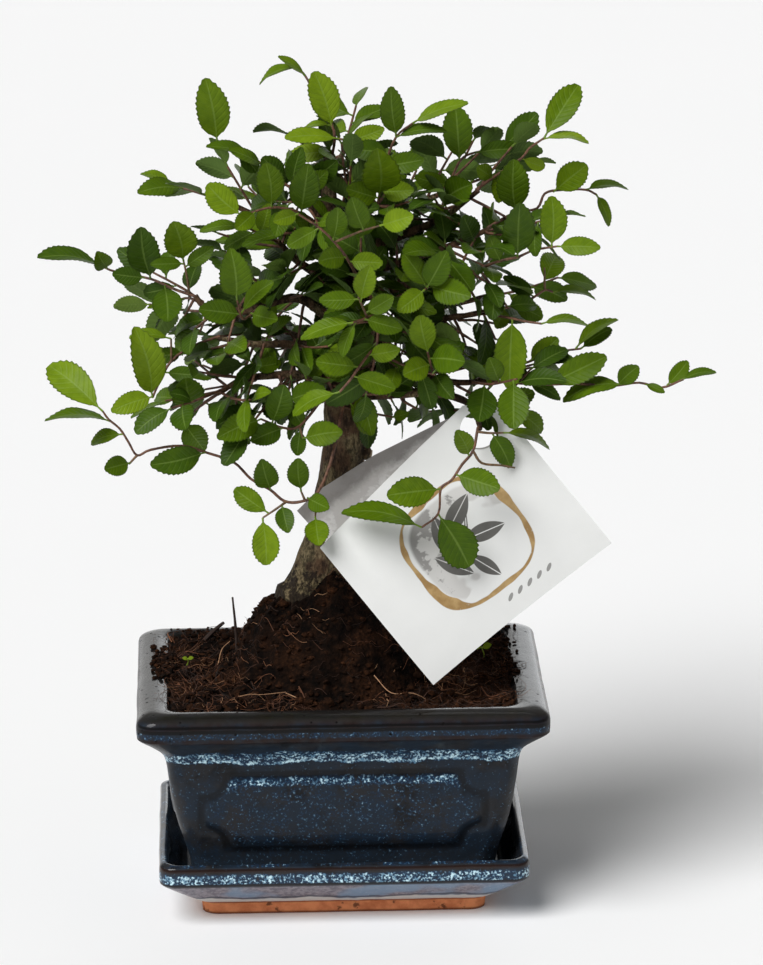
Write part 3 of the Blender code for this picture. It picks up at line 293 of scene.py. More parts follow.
# Sprays at the back: the branch, how far along it, which way the twig heads, its length, its leaves
BACK_SPRAYS = [
    ("back_left_high", 1.0, (-0.9, 0.35, 0.3), 26, 5), ("back_left_high", 0.6, (-0.4, 0.9, 0.5), 24, 4),
    ("back_left_high", 0.8, (-0.5, -0.2, 0.9), 22, 4),
    ("back_left_low", 1.0, (-0.9, 0.3, -0.1), 28, 5), ("back_left_low", 0.6, (-0.2, 0.9, 0.35), 22, 4),
    ("back_left_low", 0.8, (-0.5, 0.5, -0.6), 20, 3),
    ("back_right_high", 1.0, (0.9, 0.4, 0.2), 26, 5), ("back_right_high", 0.6, (0.2, 0.9, 0.5), 24, 4),
    ("back_right_high", 0.8, (0.4, -0.1, 0.9), 22, 4),
    ("back_right_low", 1.0, (0.95, 0.2, 0.05), 28, 5), ("back_right_low", 0.6, (0.2, 0.9, -0.1), 24, 4),
    ("back_mid", 1.0, (-0.1, 0.95, 0.2), 26, 5), ("back_mid", 0.75, (0.8, 0.5, 0.3), 24, 4),
    ("back_mid", 0.8, (-0.8, 0.5, 0.1), 24, 4),
    ("back_top", 1.0, (0.2, 0.9, 0.4), 26, 5), ("back_top", 0.7, (-0.7, 0.6, 0.3), 22, 4),
    ("back_low", 1.0, (-0.4, 0.9, -0.1), 26, 4), ("back_low", 0.7, (0.8, 0.6, 0.0), 26, 4),
]

# Leaves and twigs, as the solids have them: thickness, stalk, lengths, how slim or full, lean and outline
LEAF_SEED = 41
LEAF_THICK = 0.66
STALK_HALF = 0.5
STALK_PART = 0.1
LEAF_LENGTH = (13.0, 20.0)
LEAF_SLIM, LEAF_FULL = 0.42, 0.60
LEAF_LEAN = (-30.0, 26.0)
BIG_LEAF = 17.5
TWIG_RADII = (0.75, 0.5)
TWIG_BOWS = (0, 2.5, -2.5, 5, -5, 8, -8, 11, -11)
TOOTHED_OUTLINE = [(0.28, 0.84), (0.33, 0.74), (0.57, 1.0), (0.63, 0.82), (0.82, 0.64)]
SMALL_OUTLINE = [(0.42, 1.0), (0.50, 0.82), (0.76, 0.68)]
# What a leaf tries in turn to stay clear of its neighbours: turn, nod and size
LEAF_TRIES = [
    (0, 0, 1), (0, 14, 1), (0, -14, 1), (0, 28, 1), (0, -28, 1), (12, 0, 1), (-12, 0, 1), (12, 24, 0.9),
    (-12, -24, 0.9), (0, 42, 0.95), (0, -42, 0.95), (20, 30, 0.85), (-20, -30, 0.85), (24, -20, 0.8),
    (-24, 20, 0.8), (30, 45, 0.75), (-30, -45, 0.75),
]

# Card: corners of its front leaf, the curled corner, and the back leaf's far corner and crease; then the room
# that the crown keeps from it
CARD_LEFT, CARD_FOOT, CARD_RIGHT = (-7.5, -38, 141.8), (32.9, -46, 91.5), (98.2, -36, 141.1)
CARD_TOP, CARD_CURL = (57.8, -28, 191.4), (45, -25, 190.6)
CARD_BACK_CORNER, CARD_BACK_FOOT = (-15.3, -15, 149), (17, -28, 97)
CARD_CREASE = (0.9, 0.72)
CARD_ROOM = 1.2
# Its real sheet: thickness, mesh spacing, punched hole with its radius and steps, the bow of the front leaf, how
# far in the front leaf lies and the back one besides, and the back leaf's upper edge and tucked foot
CARD_SHEET, CARD_SPACING = 0.45, 2.2
CARD_PUNCHED, CARD_PUNCH, PUNCH_STEPS = (50.8, -30.0, 182.4), 7.0, 40
CARD_BOW, CARD_IN, CARD_BACK_IN = 0.6, 0.15, 0.2
CARD_BACK_EDGE = [(39, -24, 185.2), (13, -19, 170.8), (-8, -16, 156.5)]
CARD_BACK_TUCKED = (22, -28, 107)
# Its print: middle and half size of the frame, then each printed leaf's middle, lean and half sizes
CARD_PRINT = (42.0, 33.0, 21.0)
CARD_LEAVES = [(36, 40, 75, 8.5, 3.4), (45, 43, 25, 9.0, 3.6), (33, 29, 120, 8.0, 3.2), (49, 32, -15, 8.5, 3.4),
               (42, 22, -70, 7.0, 2.8), (42, 33, 55, 15.0, 0.8)]

# The crown's dense middle as the front shows it: x, and height moved to the plane y = 0
CROWN_MASS = [
    (-47, 264), (-28, 270), (-14, 285), (24, 285), (45, 286), (66, 285), (76, 264), (85, 248), (76, 238),
    (72, 224), (74, 210), (88, 204), (100, 198), (76, 190), (60, 182), (40, 186), (10, 184), (-20, 174),
    (-42, 178), (-64, 186), (-74, 198), (-66, 216), (-62, 228), (-72, 242), (-60, 249), (-44, 246),
]
CROWN_DEPTH = (-44.0, 50.0)
# Inner sprays that fill it: the leaves in all, tries, twig lengths, leaves on a twig, and the room that leaves
# and twigs keep from others
FILL_SEED = 73
FILL_TRIES = 5000
FILL_LEAVES_IN_ALL = 560
FILL_TWIG = (11.0, 20.0)
FILL_LEAVES = (3, 5)
INNER_ROOM = 0.34
INNER_TWIG_ROOM = 0.55
# Thin places in it: x, and height moved to the plane y = 0, which get sprays of their own first
FILL_GAPS = [
    (7, 276), (29, 184), (18, 185), (43, 187), (-35, 187), (-33, 174), (-50, 212), (-44, 180), (-14, 188),
    (61, 208), (56, 199), (67, 204), (49, 206), (-58, 196), (66, 192), (36, 180), (-24, 182), (-52, 202),
    (8, 188), (50, 196), (-3, 283), (76, 200), (-40, 196), (88, 200), (-52, 196), (-28, 232), (38, 247),
    (52, 240), (62, 226), (60, 262), (-62, 232), (-48, 184), (-20, 246), (20, 262), (24, 183), (-62, 184),
    (-70, 181), (-78, 199), (73, 241), (83, 250), (-45, 240), (56, 283), (70, 283), (97, 187), (100, 197),
    (-37, 169), (32, 180), (-57, 212), (63, 174), (-15, 179), (21, 174), (-74, 238), (79, 269),
]
# For such a place: tries, leaves wanted, how near a leaf's tip must come, its depth, and the twig's lengths
GAP_TRIES = 45
GAP_LEAVES = 5
GAP_REACH = 15.0
GAP_DEPTH = (-24, 16)
GAP_TWIG, GAP_TOO_FAR = (9.0, 27.0), 36
# Open places in it, likewise, with the radius of each, which the inner leaves leave free
CROWN_HOLES = [
    ((34, 280), 7.5), ((46.5, 209.5), 5.2), ((-16, 220), 5.0), ((-23, 195), 4.8), ((50, 271), 4.6),
    ((-46, 194), 4.5), ((58, 190), 4.4), ((57, 263), 4.4), ((-60.5, 200.5), 3.9), ((-8, 180), 3.9),
    ((65.5, 225.5), 2.9), ((29, 232), 2.9), ((38, 192), 2.9), ((-49, 180), 2.7), ((-47, 230), 5.0),
    ((68.5, 233), 4.6), ((-25.5, 237.5), 4.5), ((25.5, 182.5), 2.5), ((41, 214.5), 2.4), ((-15.5, 240), 2.4),
    ((-10, 192.5), 2.2), ((-28.5, 181.5), 2.1), ((69.5, 205.5), 2.2), ((-61.5, 193.5), 2.7), ((22, 198.5), 2.2),
]
HOLE_KEPT, HOLE_ROOM = 0.85, 1.2
# Where the inner sprays part into pieces: back of this depth, left and right of these x, above this height
BACK_FROM, LEFT_FROM, RIGHT_FROM, HIGH_FROM = 12, -12, 32, 228

# How bright the leaves of a spray are, from 0, deep green, to 1, pale new growth, and how much they vary. Partly
# their own colour, partly painted light and shade: lit sprays brighter, and the inner leaves darker as painted
# shade inside the crown
SPRAY_TONES = {
    "card_front": 0.44, "low_left": 0.45, "top_right": 0.58, "top_left": 0.55, "left_top_low": 0.5,
    "right_high": 0.36, "left_high": 0.36, "top_right_inner": 0.32, "left_low": 0.36, "left_lower": 0.34,
}
OTHER_TONE, INNER_TONE_PAINTED_SHADE = 0.43, 0.27
TONE_SPREAD, INNER_SPREAD = 0.16, 0.2
YOUNG_REACH, YOUNG_PALER = 3.0, 0.10
LEAF_TONES = [(0.0, (0.020, 0.044, 0.004)), (0.28, (0.042, 0.086, 0.005)), (0.5, (0.080, 0.142, 0.003)),
              (0.72, (0.165, 0.252, 0.008)), (0.9, (0.31, 0.40, 0.025)), (1.0, (0.30, 0.36, 0.09))]

# Fine leaf: how broad it is along its length
LEAF_BREADTH = [
    (0.0, 0.05), (0.05, 0.31), (0.12, 0.57), (0.24, 0.85), (0.38, 0.98), (0.50, 1.0), (0.64, 0.95),
    (0.78, 0.77), (0.89, 0.50), (0.96, 0.24), (1.0, 0.0),
]
# Rows along a leaf and places across it: for the leaves that show, and for those inside the crown
FINE_LEAF = 24, (-1.0, -0.66, -0.33, 0.0, 0.33, 0.66, 1.0)
INNER_LEAF = 18, (-1.0, -0.5, 0.0, 0.5, 1.0)
SEED_LEAF_ROWS = 8
# Its thickness and stalk, how far its teeth stand out and point ahead, and what marks its under side
LEAF_BODY = 0.15
PETIOLE = (0.42, 0.30)
TOOTH_OUT, TOOTH_AHEAD = 0.042, (0.1, 0.55)
UNDER = 4.0
# Ranges that each leaf draws from: fold, droop, swing to a side, waviness, and where it is broadest
LEAF_FOLD, LEAF_DROOP, LEAF_SWING = (0.05, 0.30), (-0.04, 0.10), (-0.035, 0.035)
LEAF_WAVES, LEAF_BROADEST = (0.02, 0.07), (0.80, 1.25)

# Fine twigs: thickness at both ends, and how much thinner side twigs are
TWIG_FINE, SIDE_TWIG = (0.62, 0.40), 0.85
LOOKS_SEED = 11

# Round stems: their sides, and how strong and how long the lumps in their girth are
BRANCH_SIDES, BRANCH_LUMPS = 10, (0.12, 3.0)
STUB_SIDES, STUB_LUMPS = 24, (0.16, 2.2)
CUT_SIDES, CUT_LUMPS = 16, (0.1, 1.0)
TWIG_SIDES, TWIG_LUMPS = 7, (0.15, 2.5)
STICK_SIDES, STICK_LUMPS = 6, (0.2, 2.0)
STALK_SIDES, STEM_SIDES, STRAND_SIDES, FIBRE_SIDES = 6, 6, 5, 3

# Steps between the places of a wall's profile, round a corner, and along a short and a long side
POT_WALL_STEPS, POT_CORNER_STEPS, POT_STEPS = (7, 5), 9, (84, 124)
SAUCER_WALL_STEPS, SAUCER_CORNER_STEPS, SAUCER_STEPS = 6, 8, (72, 108)
SOIL_CORNER_STEPS, SOIL_STEPS, SOIL_RINGS = 8, (60, 90), 84

# Soil: how far it reaches from the middle, and its mounds as place, radius and height
SOIL_REACH = (63.0, 45.6)
SOIL_MOUNDS = [((0, -9), 15.0, 14.0), ((-38, 22), 17.0, 4.0), ((38, 20), 16.0, 3.0), ((-8, 26), 20.0, 3.0),
               ((-21, -3), 7.0, 3.0)]
# What lies on it: the height of the lip's top, how far out things may lie, and spills over the lip as place,
# spread and number of crumbs
LIP_TOP = 83.4
LIP_LIMIT = (69.5, 50.5)
SOIL_SPILLS = [((-65, 8), (2.2, 8), 170), ((-30, 46), (20, 2), 120), ((52, 44), (8, 2.0), 60),
               ((62, 2), (1.8, 14), 70)]
CRUMBS, CRUMB_SIZES, SPILT_SIZES = 1900, (0.4, 1.3), (0.4, 1.2)
BIG_CRUMBS, BIG_CRUMB = 0.10, 1.7
# Coconut fibres: tufts, fibres in a tuft, how pale they are, their lengths and radii, each as the common range and
# a rare one, the shares of the common ones, places along a fibre, and how much it may climb
FIBRE_TUFTS = 135
FIBRES_IN_TUFT = (7, 18)
FIBRE_PALENESS = (0.15, 0.90)
FIBRE_LENGTHS, FIBRE_RADII = ((3, 15), (16, 26)), ((0.05, 0.12), (0.14, 0.25))
COMMON_LENGTHS, COMMON_RADII = 0.95, 0.92
FIBRE_PLACES, FIBRE_STEEPEST = 6, 4.5
# Sticks, long pale strands as x, y and height above the soil, and seedlings as x, y and height
SOIL_STICKS = [
    ([(-37.5, 0, 86), (-38.4, -0.5, 101), (-39.3, -1, 112)], (0.75, 0.35)),
    ([(-50.0, 38, 83), (-46.0, 38, 87), (-42.6, 38, 89.8)], (0.95, 0.6)),
]
SOIL_STRANDS = [
    [(-39.5, -36, 0.6), (-34.3, -33, 1.9), (-29.2, -31, 2.4), (-20.4, -30, 1.6)],
    [(-20.4, -31, 1.5), (-15.4, -36, 1.3), (-11.1, -40, 0.6)],
    [(-45.1, 8, 0.5), (-43.5, 12, 2.0), (-40.5, 15, 3.0)],
    [(12, -26, 0.5), (18, -31, 1.6), (26, -34, 1.4), (33, -33, 0.6)],
]
STRAND_RADII = (0.20, 0.10)
SEEDLINGS = [(-57, 12, 3.0), (54.0, 8, 5.2)]
SEEDLING_STEM = (0.28, 0.22)

# Trunk: steps between its named places, sides, and the heights between which its foot flares; then the stub's
# rounded end as steps ahead and shares of its radius, and the pale cut face in it as shares of that radius
TRUNK_STEPS = 12
TRUNK_FINE_SIDES = 56
TRUNK_FLARE = (130, 102)
STUB_END = ((0.5, 0.92), (0.9, 0.72), (1.1, 0.4))
CUT_GIRTHS = (0.62, 0.55)

# Surfaces that meet more sharply than this, in degrees, show an edge
SHARP_ANGLE = 55.0

# Studio, in metres and degrees
DIM_SURROUNDINGS, BACK_SKY, RIGHT_BACK_SKY = (0.20, 0.20, 0.20), (0.90, 0.90, 0.89), (1.5, 1.53, 1.55)
KEY_FROM, KEY_POWER, KEY_SPREAD = (-0.62, -0.62, 1.0), 3.3, 38.0
FLOOR_TONE = (0.93, 0.93, 0.93)
FLOOR_HALF = 12.0
CAMERA_DOWN, CAMERA_ROUND, CAMERA_ROLL = 16.6, -1.3, -0.6
CAMERA_AIM, CAMERA_AWAY = (0.0, 0.0, 0.145), 2.0
CAMERA_LENS = 202.9
CAMERA_SHIFT = (0.0451, 0.0275)

Leaf = namedtuple("Leaf", "root axis face length width arch")


class Skin:
    """Points, faces and finish numbers of one piece, with three marks for each point that its finish reads."""

    def __init__(self):
        self.points = []
        self.faces = []
        self.marks = []
        self.kinds = []

    def add(self, points, faces, marks, kind=0):
        start = len(self.points)
        self.points += points
        self.marks += marks
        self.faces += [tuple(i + start for i in face) for face in faces]
        self.kinds += [kind] * len(faces)

    def piece(self, name, finishes, slot, *nodes):
        mesh = bpy.data.meshes.new(name)
        mesh.from_pydata([p * MM for p in self.points], [], self.faces)
        marks = mesh.attributes.new("mark", "FLOAT_VECTOR", "POINT")
        marks.data.foreach_set("vector", [number for mark in self.marks for number in mark])
        mesh.polygons.foreach_set("material_index", self.kinds)
        for finish in finishes:
            mesh.materials.append(finish)
        shape = bmesh.new()
        shape.from_mesh(mesh)
        bmesh.ops.recalc_face_normals(shape, faces=shape.faces)
        shape.to_mesh(mesh)
        shape.free()
        mesh.shade_smooth()
        mesh.set_sharp_from_angle(angle=math.radians(SHARP_ANGLE))
        obj = bpy.data.objects.new(name, mesh)
        bpy.context.scene.collection.objects.link(obj)
        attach(obj, "root")
        if nodes:
            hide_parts(*nodes)
        return obj


def between(t, pairs):
    """A value read off a list of (place, value) pairs, in straight steps."""
    for (a, low), (b, high) in zip(pairs, pairs[1:]):
        if t <= b:
            return low + (high - low) * (t - a) / (b - a)
    return pairs[-1][1]


def eased(value, low, high):
    """0 below low, 1 above high, smooth between them."""
    t = max(0.0, min(1.0, (value - low) / (high - low)))
    return t * t * (3 - 2 * t)


def rough(place, size, depth=3):
    """Smooth lumps of about that size, from -1 to 1, the same on every run."""
    return noise.fractal(place / size, 1.0, 2.0, depth) * 0.9


def smooth_route(points, steps):
    """A rounded curve through the points, with a number of steps between each two."""
    points = [Vector(p) for p in points]
    ends = [points[0] * 2 - points[1]] + points + [points[-1] * 2 - points[-2]]
    route = []
    for a, b, c, d in zip(ends, ends[1:], ends[2:], ends[3:]):
        for i in range(steps):
            t = i / steps
            route.append(0.5 * (2 * b + (c - a) * t + (2 * a - 5 * b + 4 * c - d) * t * t
                                + (3 * b - a - 3 * c + d) * t ** 3))
    return route + [points[-1]]


def taper(ends, count):
    return [ends[0] + (ends[1] - ends[0]) * i / (count - 1) for i in range(count)]


def turned(vector, axis, degrees):
    return Matrix.Rotation(math.radians(degrees), 3, axis) @ vector


def rings(loops):
    """Points and faces between loops of equally many points, capped at both ends."""
    count = len(loops[0])
    faces = []
    for start in range(0, (len(loops) - 1) * count, count):
        for k in range(count):
            n = (k + 1) % count
            faces.append((start + k, start + n, start + count + n, start + count + k))
    faces.append(tuple(reversed(range(count))))
    faces.append(tuple(range((len(loops) - 1) * count, len(loops) * count)))
    return [p for loop in loops for p in loop], faces


def tube(skin, route, radii, sides, mark, kind=0, lumps=0.0, lump_size=3.0):
    """A round stem along a route, with soft lumps where they are asked for."""
    ahead = (route[1] - route[0]).normalized()
    across = ahead.orthogonal().normalized()
    loops = []
    for i, place in enumerate(route):
        ahead = (route[min(i + 1, len(route) - 1)] - route[max(i - 1, 0)]).normalized()
        across = (across - ahead * across.dot(ahead)).normalized()
        other = ahead.cross(across)
        loop = []
        for k in range(sides):
            angle = math.tau * k / sides
            out = across * math.cos(angle) + other * math.sin(angle)
            radius = radii[i]
            if lumps:
                radius *= 1 + lumps * rough(place + out * radius, lump_size, 2)
            loop.append(place + out * radius)
        loops.append(loop)
    points, faces = rings(loops)
    skin.add(points, faces, [mark] * len(points), kind)


def branch_route(name):
    """A branch's route, rounded where it has few places of its own."""
    places = BRANCHES[name]
    return smooth_route(places, 2 if len(places) == 3 else 1)


def nearest_on(route, place, flat=False):
    """The place on the route nearest to a point, and how far off it is. Flat ignores depth."""
    best = None
    for a, b in zip(route, route[1:]):
        run, to = b - a, place - a
        if flat:
            run, to = Vector((run.x, 0, run.z)), Vector((to.x, 0, to.z))
        t = max(0.0, min(1.0, to.dot(run) / max(run.dot(run), 1e-9)))
        off = (to - run * t).length
        if best is None or off < best[1]:
            best = (a + (b - a) * t, off)
    return best


class Clearance:
    """Remembers what is already in the crown, and says whether a new piece would touch any of it."""

    def __init__(self):
        self.kept = []

    def boxed(self, points, faces, owner):
        low = [min(p[k] for p in points) for k in range(3)]
        high = [max(p[k] for p in points) for k in range(3)]
        return low, high, BVHTree.FromPolygons(points, faces), owner

    def add(self, points, faces, owner):
        self.kept.append(self.boxed(points, faces, owner))

    def touches(self, points, faces, owners_left_out=()):
        low, high, tree, _ = self.boxed(points, faces, None)
        for other_low, other_high, other_tree, owner in self.kept:
            if owner in owners_left_out:
                continue
            if all(low[k] <= other_high[k] and other_low[k] <= high[k] for k in range(3)):
                if tree.overlap(other_tree):
                    return True
        return False


def tube_shell(route, radii, sides=6):
    """Points and faces of a plain tube round a route, for testing what touches it."""
    points, faces = [], []
    for i, place in enumerate(route):
        along = (route[min(i + 1, len(route) - 1)] - route[max(i - 1, 0)]).normalized()
        across = along.orthogonal().normalized()
        other = along.cross(across)
        for k in range(sides):
            angle = math.tau * k / sides
            points.append(place + (across * math.cos(angle) + other * math.sin(angle)) * radii[i])
    for i in range(len(route) - 1):
        for k in range(sides):
            a, b = i * sides + k, i * sides + (k + 1) % sides
            faces += [(a, b, b + sides), (a, b + sides, a + sides)]
    return points, faces


def blade(leaf, outline, thick, stalk=0.0):
    """Points and faces of a leaf: a toothed plate that arches from its stalk to its tip."""
    side = leaf.axis.cross(leaf.face)
    top = []
    for t, broad in [(stalk, 0.0)] + outline:
        middle = leaf.root + leaf.axis * leaf.length * t + leaf.face * leaf.arch * math.sin(math.pi * t)
        half = max(STALK_HALF, 0.5 * leaf.width * broad)
        top += [middle - side * half, middle + side * half]
    top.append(leaf.root + leaf.axis * leaf.length)
    count = len(top)
    points = [p + leaf.face * thick / 2 for p in top] + [p - leaf.face * thick / 2 for p in top]
    ladder = []
    for i in range(0, count - 3, 2):
        ladder += [(i, i + 1, i + 3), (i, i + 3, i + 2)]
    ladder.append((count - 3, count - 2, count - 1))
    faces = ladder + [(c + count, b + count, a + count) for a, b, c in ladder]
    rim = list(range(0, count, 2)) + list(range(count - 2, 0, -2))
    for a, b in zip(rim, rim[1:] + rim[:1]):
        faces += [(a, b, b + count), (a, b + count, a + count)]
    return points, faces


def leaf_outline(leaf):
    return TOOTHED_OUTLINE if leaf.length > BIG_LEAF else SMALL_OUTLINE


def leaf_seen(rng, twigs, x, z, tip_x, tip_z, broad):
    """A leaf from how it looks from the front: leant near or away, and turned edge-on, to look so."""
    twig = min(twigs, key=lambda t: nearest_on(t, Vector((x, 0, z)), flat=True)[1])
    root = nearest_on(twig, Vector((x, 0, z)), flat=True)[0]
    tip = Vector((tip_x, root.y, tip_z))
    seen = (tip - root).length
    length = max(seen, broad / (LEAF_FULL - 0.02))
    nearer = math.sqrt(max(0.0, length * length - seen * seen))
    nearer += seen * math.tan(math.radians(rng.uniform(*LEAF_LEAN)))
    tip += Vector((0, -nearer, nearer * math.tan(FRONT_VIEW_DOWN)))
    axis = (tip - root).normalized()
    length = (tip - root).length
    width = max(LEAF_SLIM * length, min(LEAF_FULL * length, broad))
    roll = math.degrees(math.acos(min(1.0, broad / width))) * 0.95
    face = (TO_VIEWER - axis * axis.dot(TO_VIEWER)).normalized()
    up_side, down_side = turned(face, axis, roll), turned(face, axis, -roll)
    face = up_side if up_side.z >= down_side.z else down_side
    return Leaf(root, axis, face, length, width, length * (0.03 + 0.10 * roll / 90))


def leaf_placed(leaf, clear, owner, room=LEAF_THICK + 2 * FIT):
    """The leaf, turned or nodded until it is clear of the other sprays. None where nothing helps."""
    for turn, nod, size in LEAF_TRIES:
        axis = turned(leaf.axis, leaf.face, turn)
        side = axis.cross(leaf.face)
        axis, face = turned(axis, side, nod), turned(leaf.face, side, nod)
        tried = leaf._replace(axis=axis, face=face, length=leaf.length * size, width=leaf.width * size)
        points, faces = blade(tried, leaf_outline(tried), room, STALK_PART)
        if not clear.touches(points, faces, (owner + " twigs",)):
            clear.add(points, faces, owner)
            return tried
    return None


def surface_of(obj):
    """The faces of a mesh object as a search tree in millimetres."""
    points = [vert.co / MM for vert in obj.data.vertices]
    return BVHTree.FromPolygons(points, [face.vertices for face in obj.data.polygons])


def seat_twig(twig, wood):
    """Moves a twig's first point along the twig to just off the wood that carries it."""
    begin = twig[1]
    back = (wood.find_nearest(twig[0])[0] - begin).normalized()
    across = back.orthogonal().normalized()
    reach = []
    for k in range(9):
        corner = turned(across, back, 45 * k) * TWIG_RADII[0] if k < 8 else Vector((0, 0, 0))
        distance = wood.ray_cast(begin + corner, back)[3]
        if distance is not None:
            reach.append(distance)
    return [begin + back * (min(reach) - FIT)] + twig[1:]


def bent_clear(twig, clear, owner, room=TWIG_RADII[0] + FIT):
    """A twig bowed to one side or the other until it is clear of the other sprays and of the wood."""
    for bow in TWIG_BOWS:
        for way in (Vector((0, 1, 0)), Vector((0.3, 0.2, 0.9))):
            tried = [p + way * bow * math.sin(math.pi / 2 * min(1, i / 3)) for i, p in enumerate(twig)]
            begin = [tried[0].lerp(tried[1], 0.35)] + tried[1:]
            points, faces = tube_shell(begin, [room] * len(begin))
            if not clear.touches(points, faces, (owner + " twigs",)):
                clear.add(points, faces, owner + " twigs")
                return tried
    return None


def spray_ahead(rng, start, heading, length, count):
    """A twig that heads one way with leaves on alternate sides and one at its end, not yet tested."""
    heading = Vector(heading).normalized()
    outward = Vector((start.x, start.y, 0)).normalized() * 0.7 + Vector((0, 0, 1))
    face = (outward - heading * outward.dot(heading)).normalized()
    face = turned(face, heading, rng.uniform(-30, 30))
    side = heading.cross(face)
    bow = rng.uniform(-0.12, 0.12) * length
    lift = rng.uniform(-0.10, 0.16) * length
    steps = (0, 0.35, 0.7, 1)
    twig = [start + heading * length * t + side * bow * t * t + face * lift * t * t for t in steps]
    leaves = []
    for k in range(count):
        last = k == count - 1
        t = 1.0 if last else 0.28 + 0.68 * k / (count - 1)
        hand = 0 if last else (1 if k % 2 else -1)
        open_angle = hand * rng.uniform(42, 64)
        axis = turned(heading, face, open_angle)
        own_face = turned(face, axis, rng.uniform(-32, 32))
        own_side = axis.cross(own_face)
        nod = rng.uniform(-26, 14)
        axis, own_face = turned(axis, own_side, nod), turned(own_face, own_side, nod)
        size = rng.uniform(*LEAF_LENGTH) * (1.0 if 0 < k < count - 1 else 0.88)
        full = rng.uniform(0.46, 0.56)
        leaves.append((t, Leaf(None, axis, own_face, size, size * full, size * rng.uniform(0.03, 0.10))))
    return twig, leaves


def point_along(route, t):
    spans = [(b - a).length for a, b in zip(route, route[1:])]
    left = t * sum(spans)
    for a, b, span in zip(route, route[1:], spans):
        if left <= span:
            return a.lerp(b, left / span)
        left -= span
    return route[-1].copy()


def card_shells():
    """The card's two leaves as flat corner loops: front first, then back."""
    front = [Vector(p) for p in (CARD_LEFT, CARD_FOOT, CARD_RIGHT, CARD_TOP, CARD_CURL)]
    edge = Vector(CARD_FOOT).lerp(Vector(CARD_RIGHT), CARD_CREASE[0])
    crease = Vector(CARD_TOP).lerp(edge, CARD_CREASE[1])
    back = [Vector(p) for p in (CARD_TOP, CARD_BACK_CORNER, CARD_BACK_FOOT)] + [crease]
    return front, back


def wood_routes():
    """The middle line and the radii of the trunk, then of each branch."""
    routes = [(smooth_route([p for p, _ in TRUNK_ROUTE], 1), [r for _, r in TRUNK_ROUTE])]
    for name in BRANCHES:
        route = branch_route(name)
        routes.append((route, taper(BRANCH_RADII, len(route))))
    return routes


def plan_crown(routes, wood):
    """Every spray as (name, twigs, leaves), all clear of each other, of the wood and of the card."""
    rng = random.Random(LEAF_SEED)
    clear = Clearance()
    for route, radii in routes:
        clear.add(*tube_shell(route, [r + FIT for r in radii]), "wood")
    for corners in card_shells():
        for a, b, c in [(0, i, i + 1) for i in range(1, len(corners) - 1)]:
            lift = Vector((0, CARD_ROOM, 0))
            loop = [corners[a], corners[b], corners[c]]
            prism = [p + lift for p in loop] + [p - lift for p in loop]
            clear.add(prism, [(0, 1, 2), (3, 4, 5), (0, 1, 4), (0, 4, 3), (1, 2, 5), (1, 5, 4), (2, 0, 3),
                              (2, 3, 5)], "card")
    sprays = []
    for name, (twigs, _) in FRONT_SPRAYS.items():
        twigs = [[Vector(p) for p in twig] for twig in twigs]
        main = bent_clear(seat_twig(twigs[0], wood), clear, name)
        if main is None:
            continue
        main = seat_twig(main, wood)
        kept = [main]
        for twig in twigs[1:]:
            twig = [nearest_on(main, twig[0])[0]] + twig[1:]
            twig = bent_clear(twig, clear, name)
            if twig:
                kept.append(twig)
        sprays.append((name, kept, []))
    back = []
    for i, (branch, t, heading, length, count) in enumerate(BACK_SPRAYS):
        route = branch_route(branch)
        start = point_along(route, t)
        twig, leaves = spray_ahead(rng, start, heading, length, count)
        name = "%s_%d" % (branch, i)
        twig = bent_clear(seat_twig(twig, wood), clear, name)
        if twig:
            sprays.append((name, [seat_twig(twig, wood)], []))
            back.append((sprays[-1], leaves))
    for name, twigs, leaves in sprays:
        for seen in FRONT_SPRAYS.get(name, ((), ()))[1]:
            leaf = leaf_placed(leaf_seen(rng, twigs, *seen), clear, name)
            if leaf:
                leaves.append(leaf)
    for (name, twigs, kept), leaves in back:
        for t, leaf in leaves:
            leaf = leaf_placed(leaf._replace(root=point_along(twigs[0], min(t, 0.985))), clear, name)
            if leaf:
                kept.append(leaf)
    return sprays, clear


class Value:
    """A number, colour or vector that changes over a surface.

    Python's operators add the nodes that work it out.
    """

    def __init__(self, finish, node, output=0):
        self.finish = finish
        self.node = node
        self.socket = node.outputs[output]

    def __getitem__(self, output):
        return Value(self.finish, self.node, output)

    def math(self, operation, *numbers):
        return self.finish.node("ShaderNodeMath", {"operation": operation}, dict(enumerate(numbers)))

    def __add__(self, other):
        return self.math("ADD", self, other)

    def __radd__(self, other):
        return self.math("ADD", other, self)

    def __sub__(self, other):
        return self.math("SUBTRACT", self, other)

    def __rsub__(self, other):
        return self.math("SUBTRACT", other, self)

    def __mul__(self, other):
        return self.math("MULTIPLY", self, other)

    def __rmul__(self, other):
        return self.math("MULTIPLY", other, self)

    def __truediv__(self, other):
        return self.math("DIVIDE", self, other)

    def __rtruediv__(self, other):
        return self.math("DIVIDE", other, self)

    def __pow__(self, other):
        return self.math("POWER", self, other)

    def __abs__(self):
        return self.math("ABSOLUTE", self)

    def least(self, other):
        return self.math("MINIMUM", self, other)

    def most(self, other):
        return self.math("MAXIMUM", self, other)

    def fraction(self):
        return self.math("FRACT", self)

    def rising(self, low, high):
        """0 below low and 1 above high, eased between; the other way round where low is above high."""
        if low > high:
            return 1 - self.rising(high, low)
        settings = {"interpolation_type": "SMOOTHSTEP"}
        sockets = {"Value": self, "From Min": low, "From Max": high}
        return self.finish.node("ShaderNodeMapRange", settings, sockets)

    def band(self, middle, half, soft):
        """1 within half of the middle, falling to 0 over a soft edge."""
        return abs(self - middle).rising(half + soft, half)


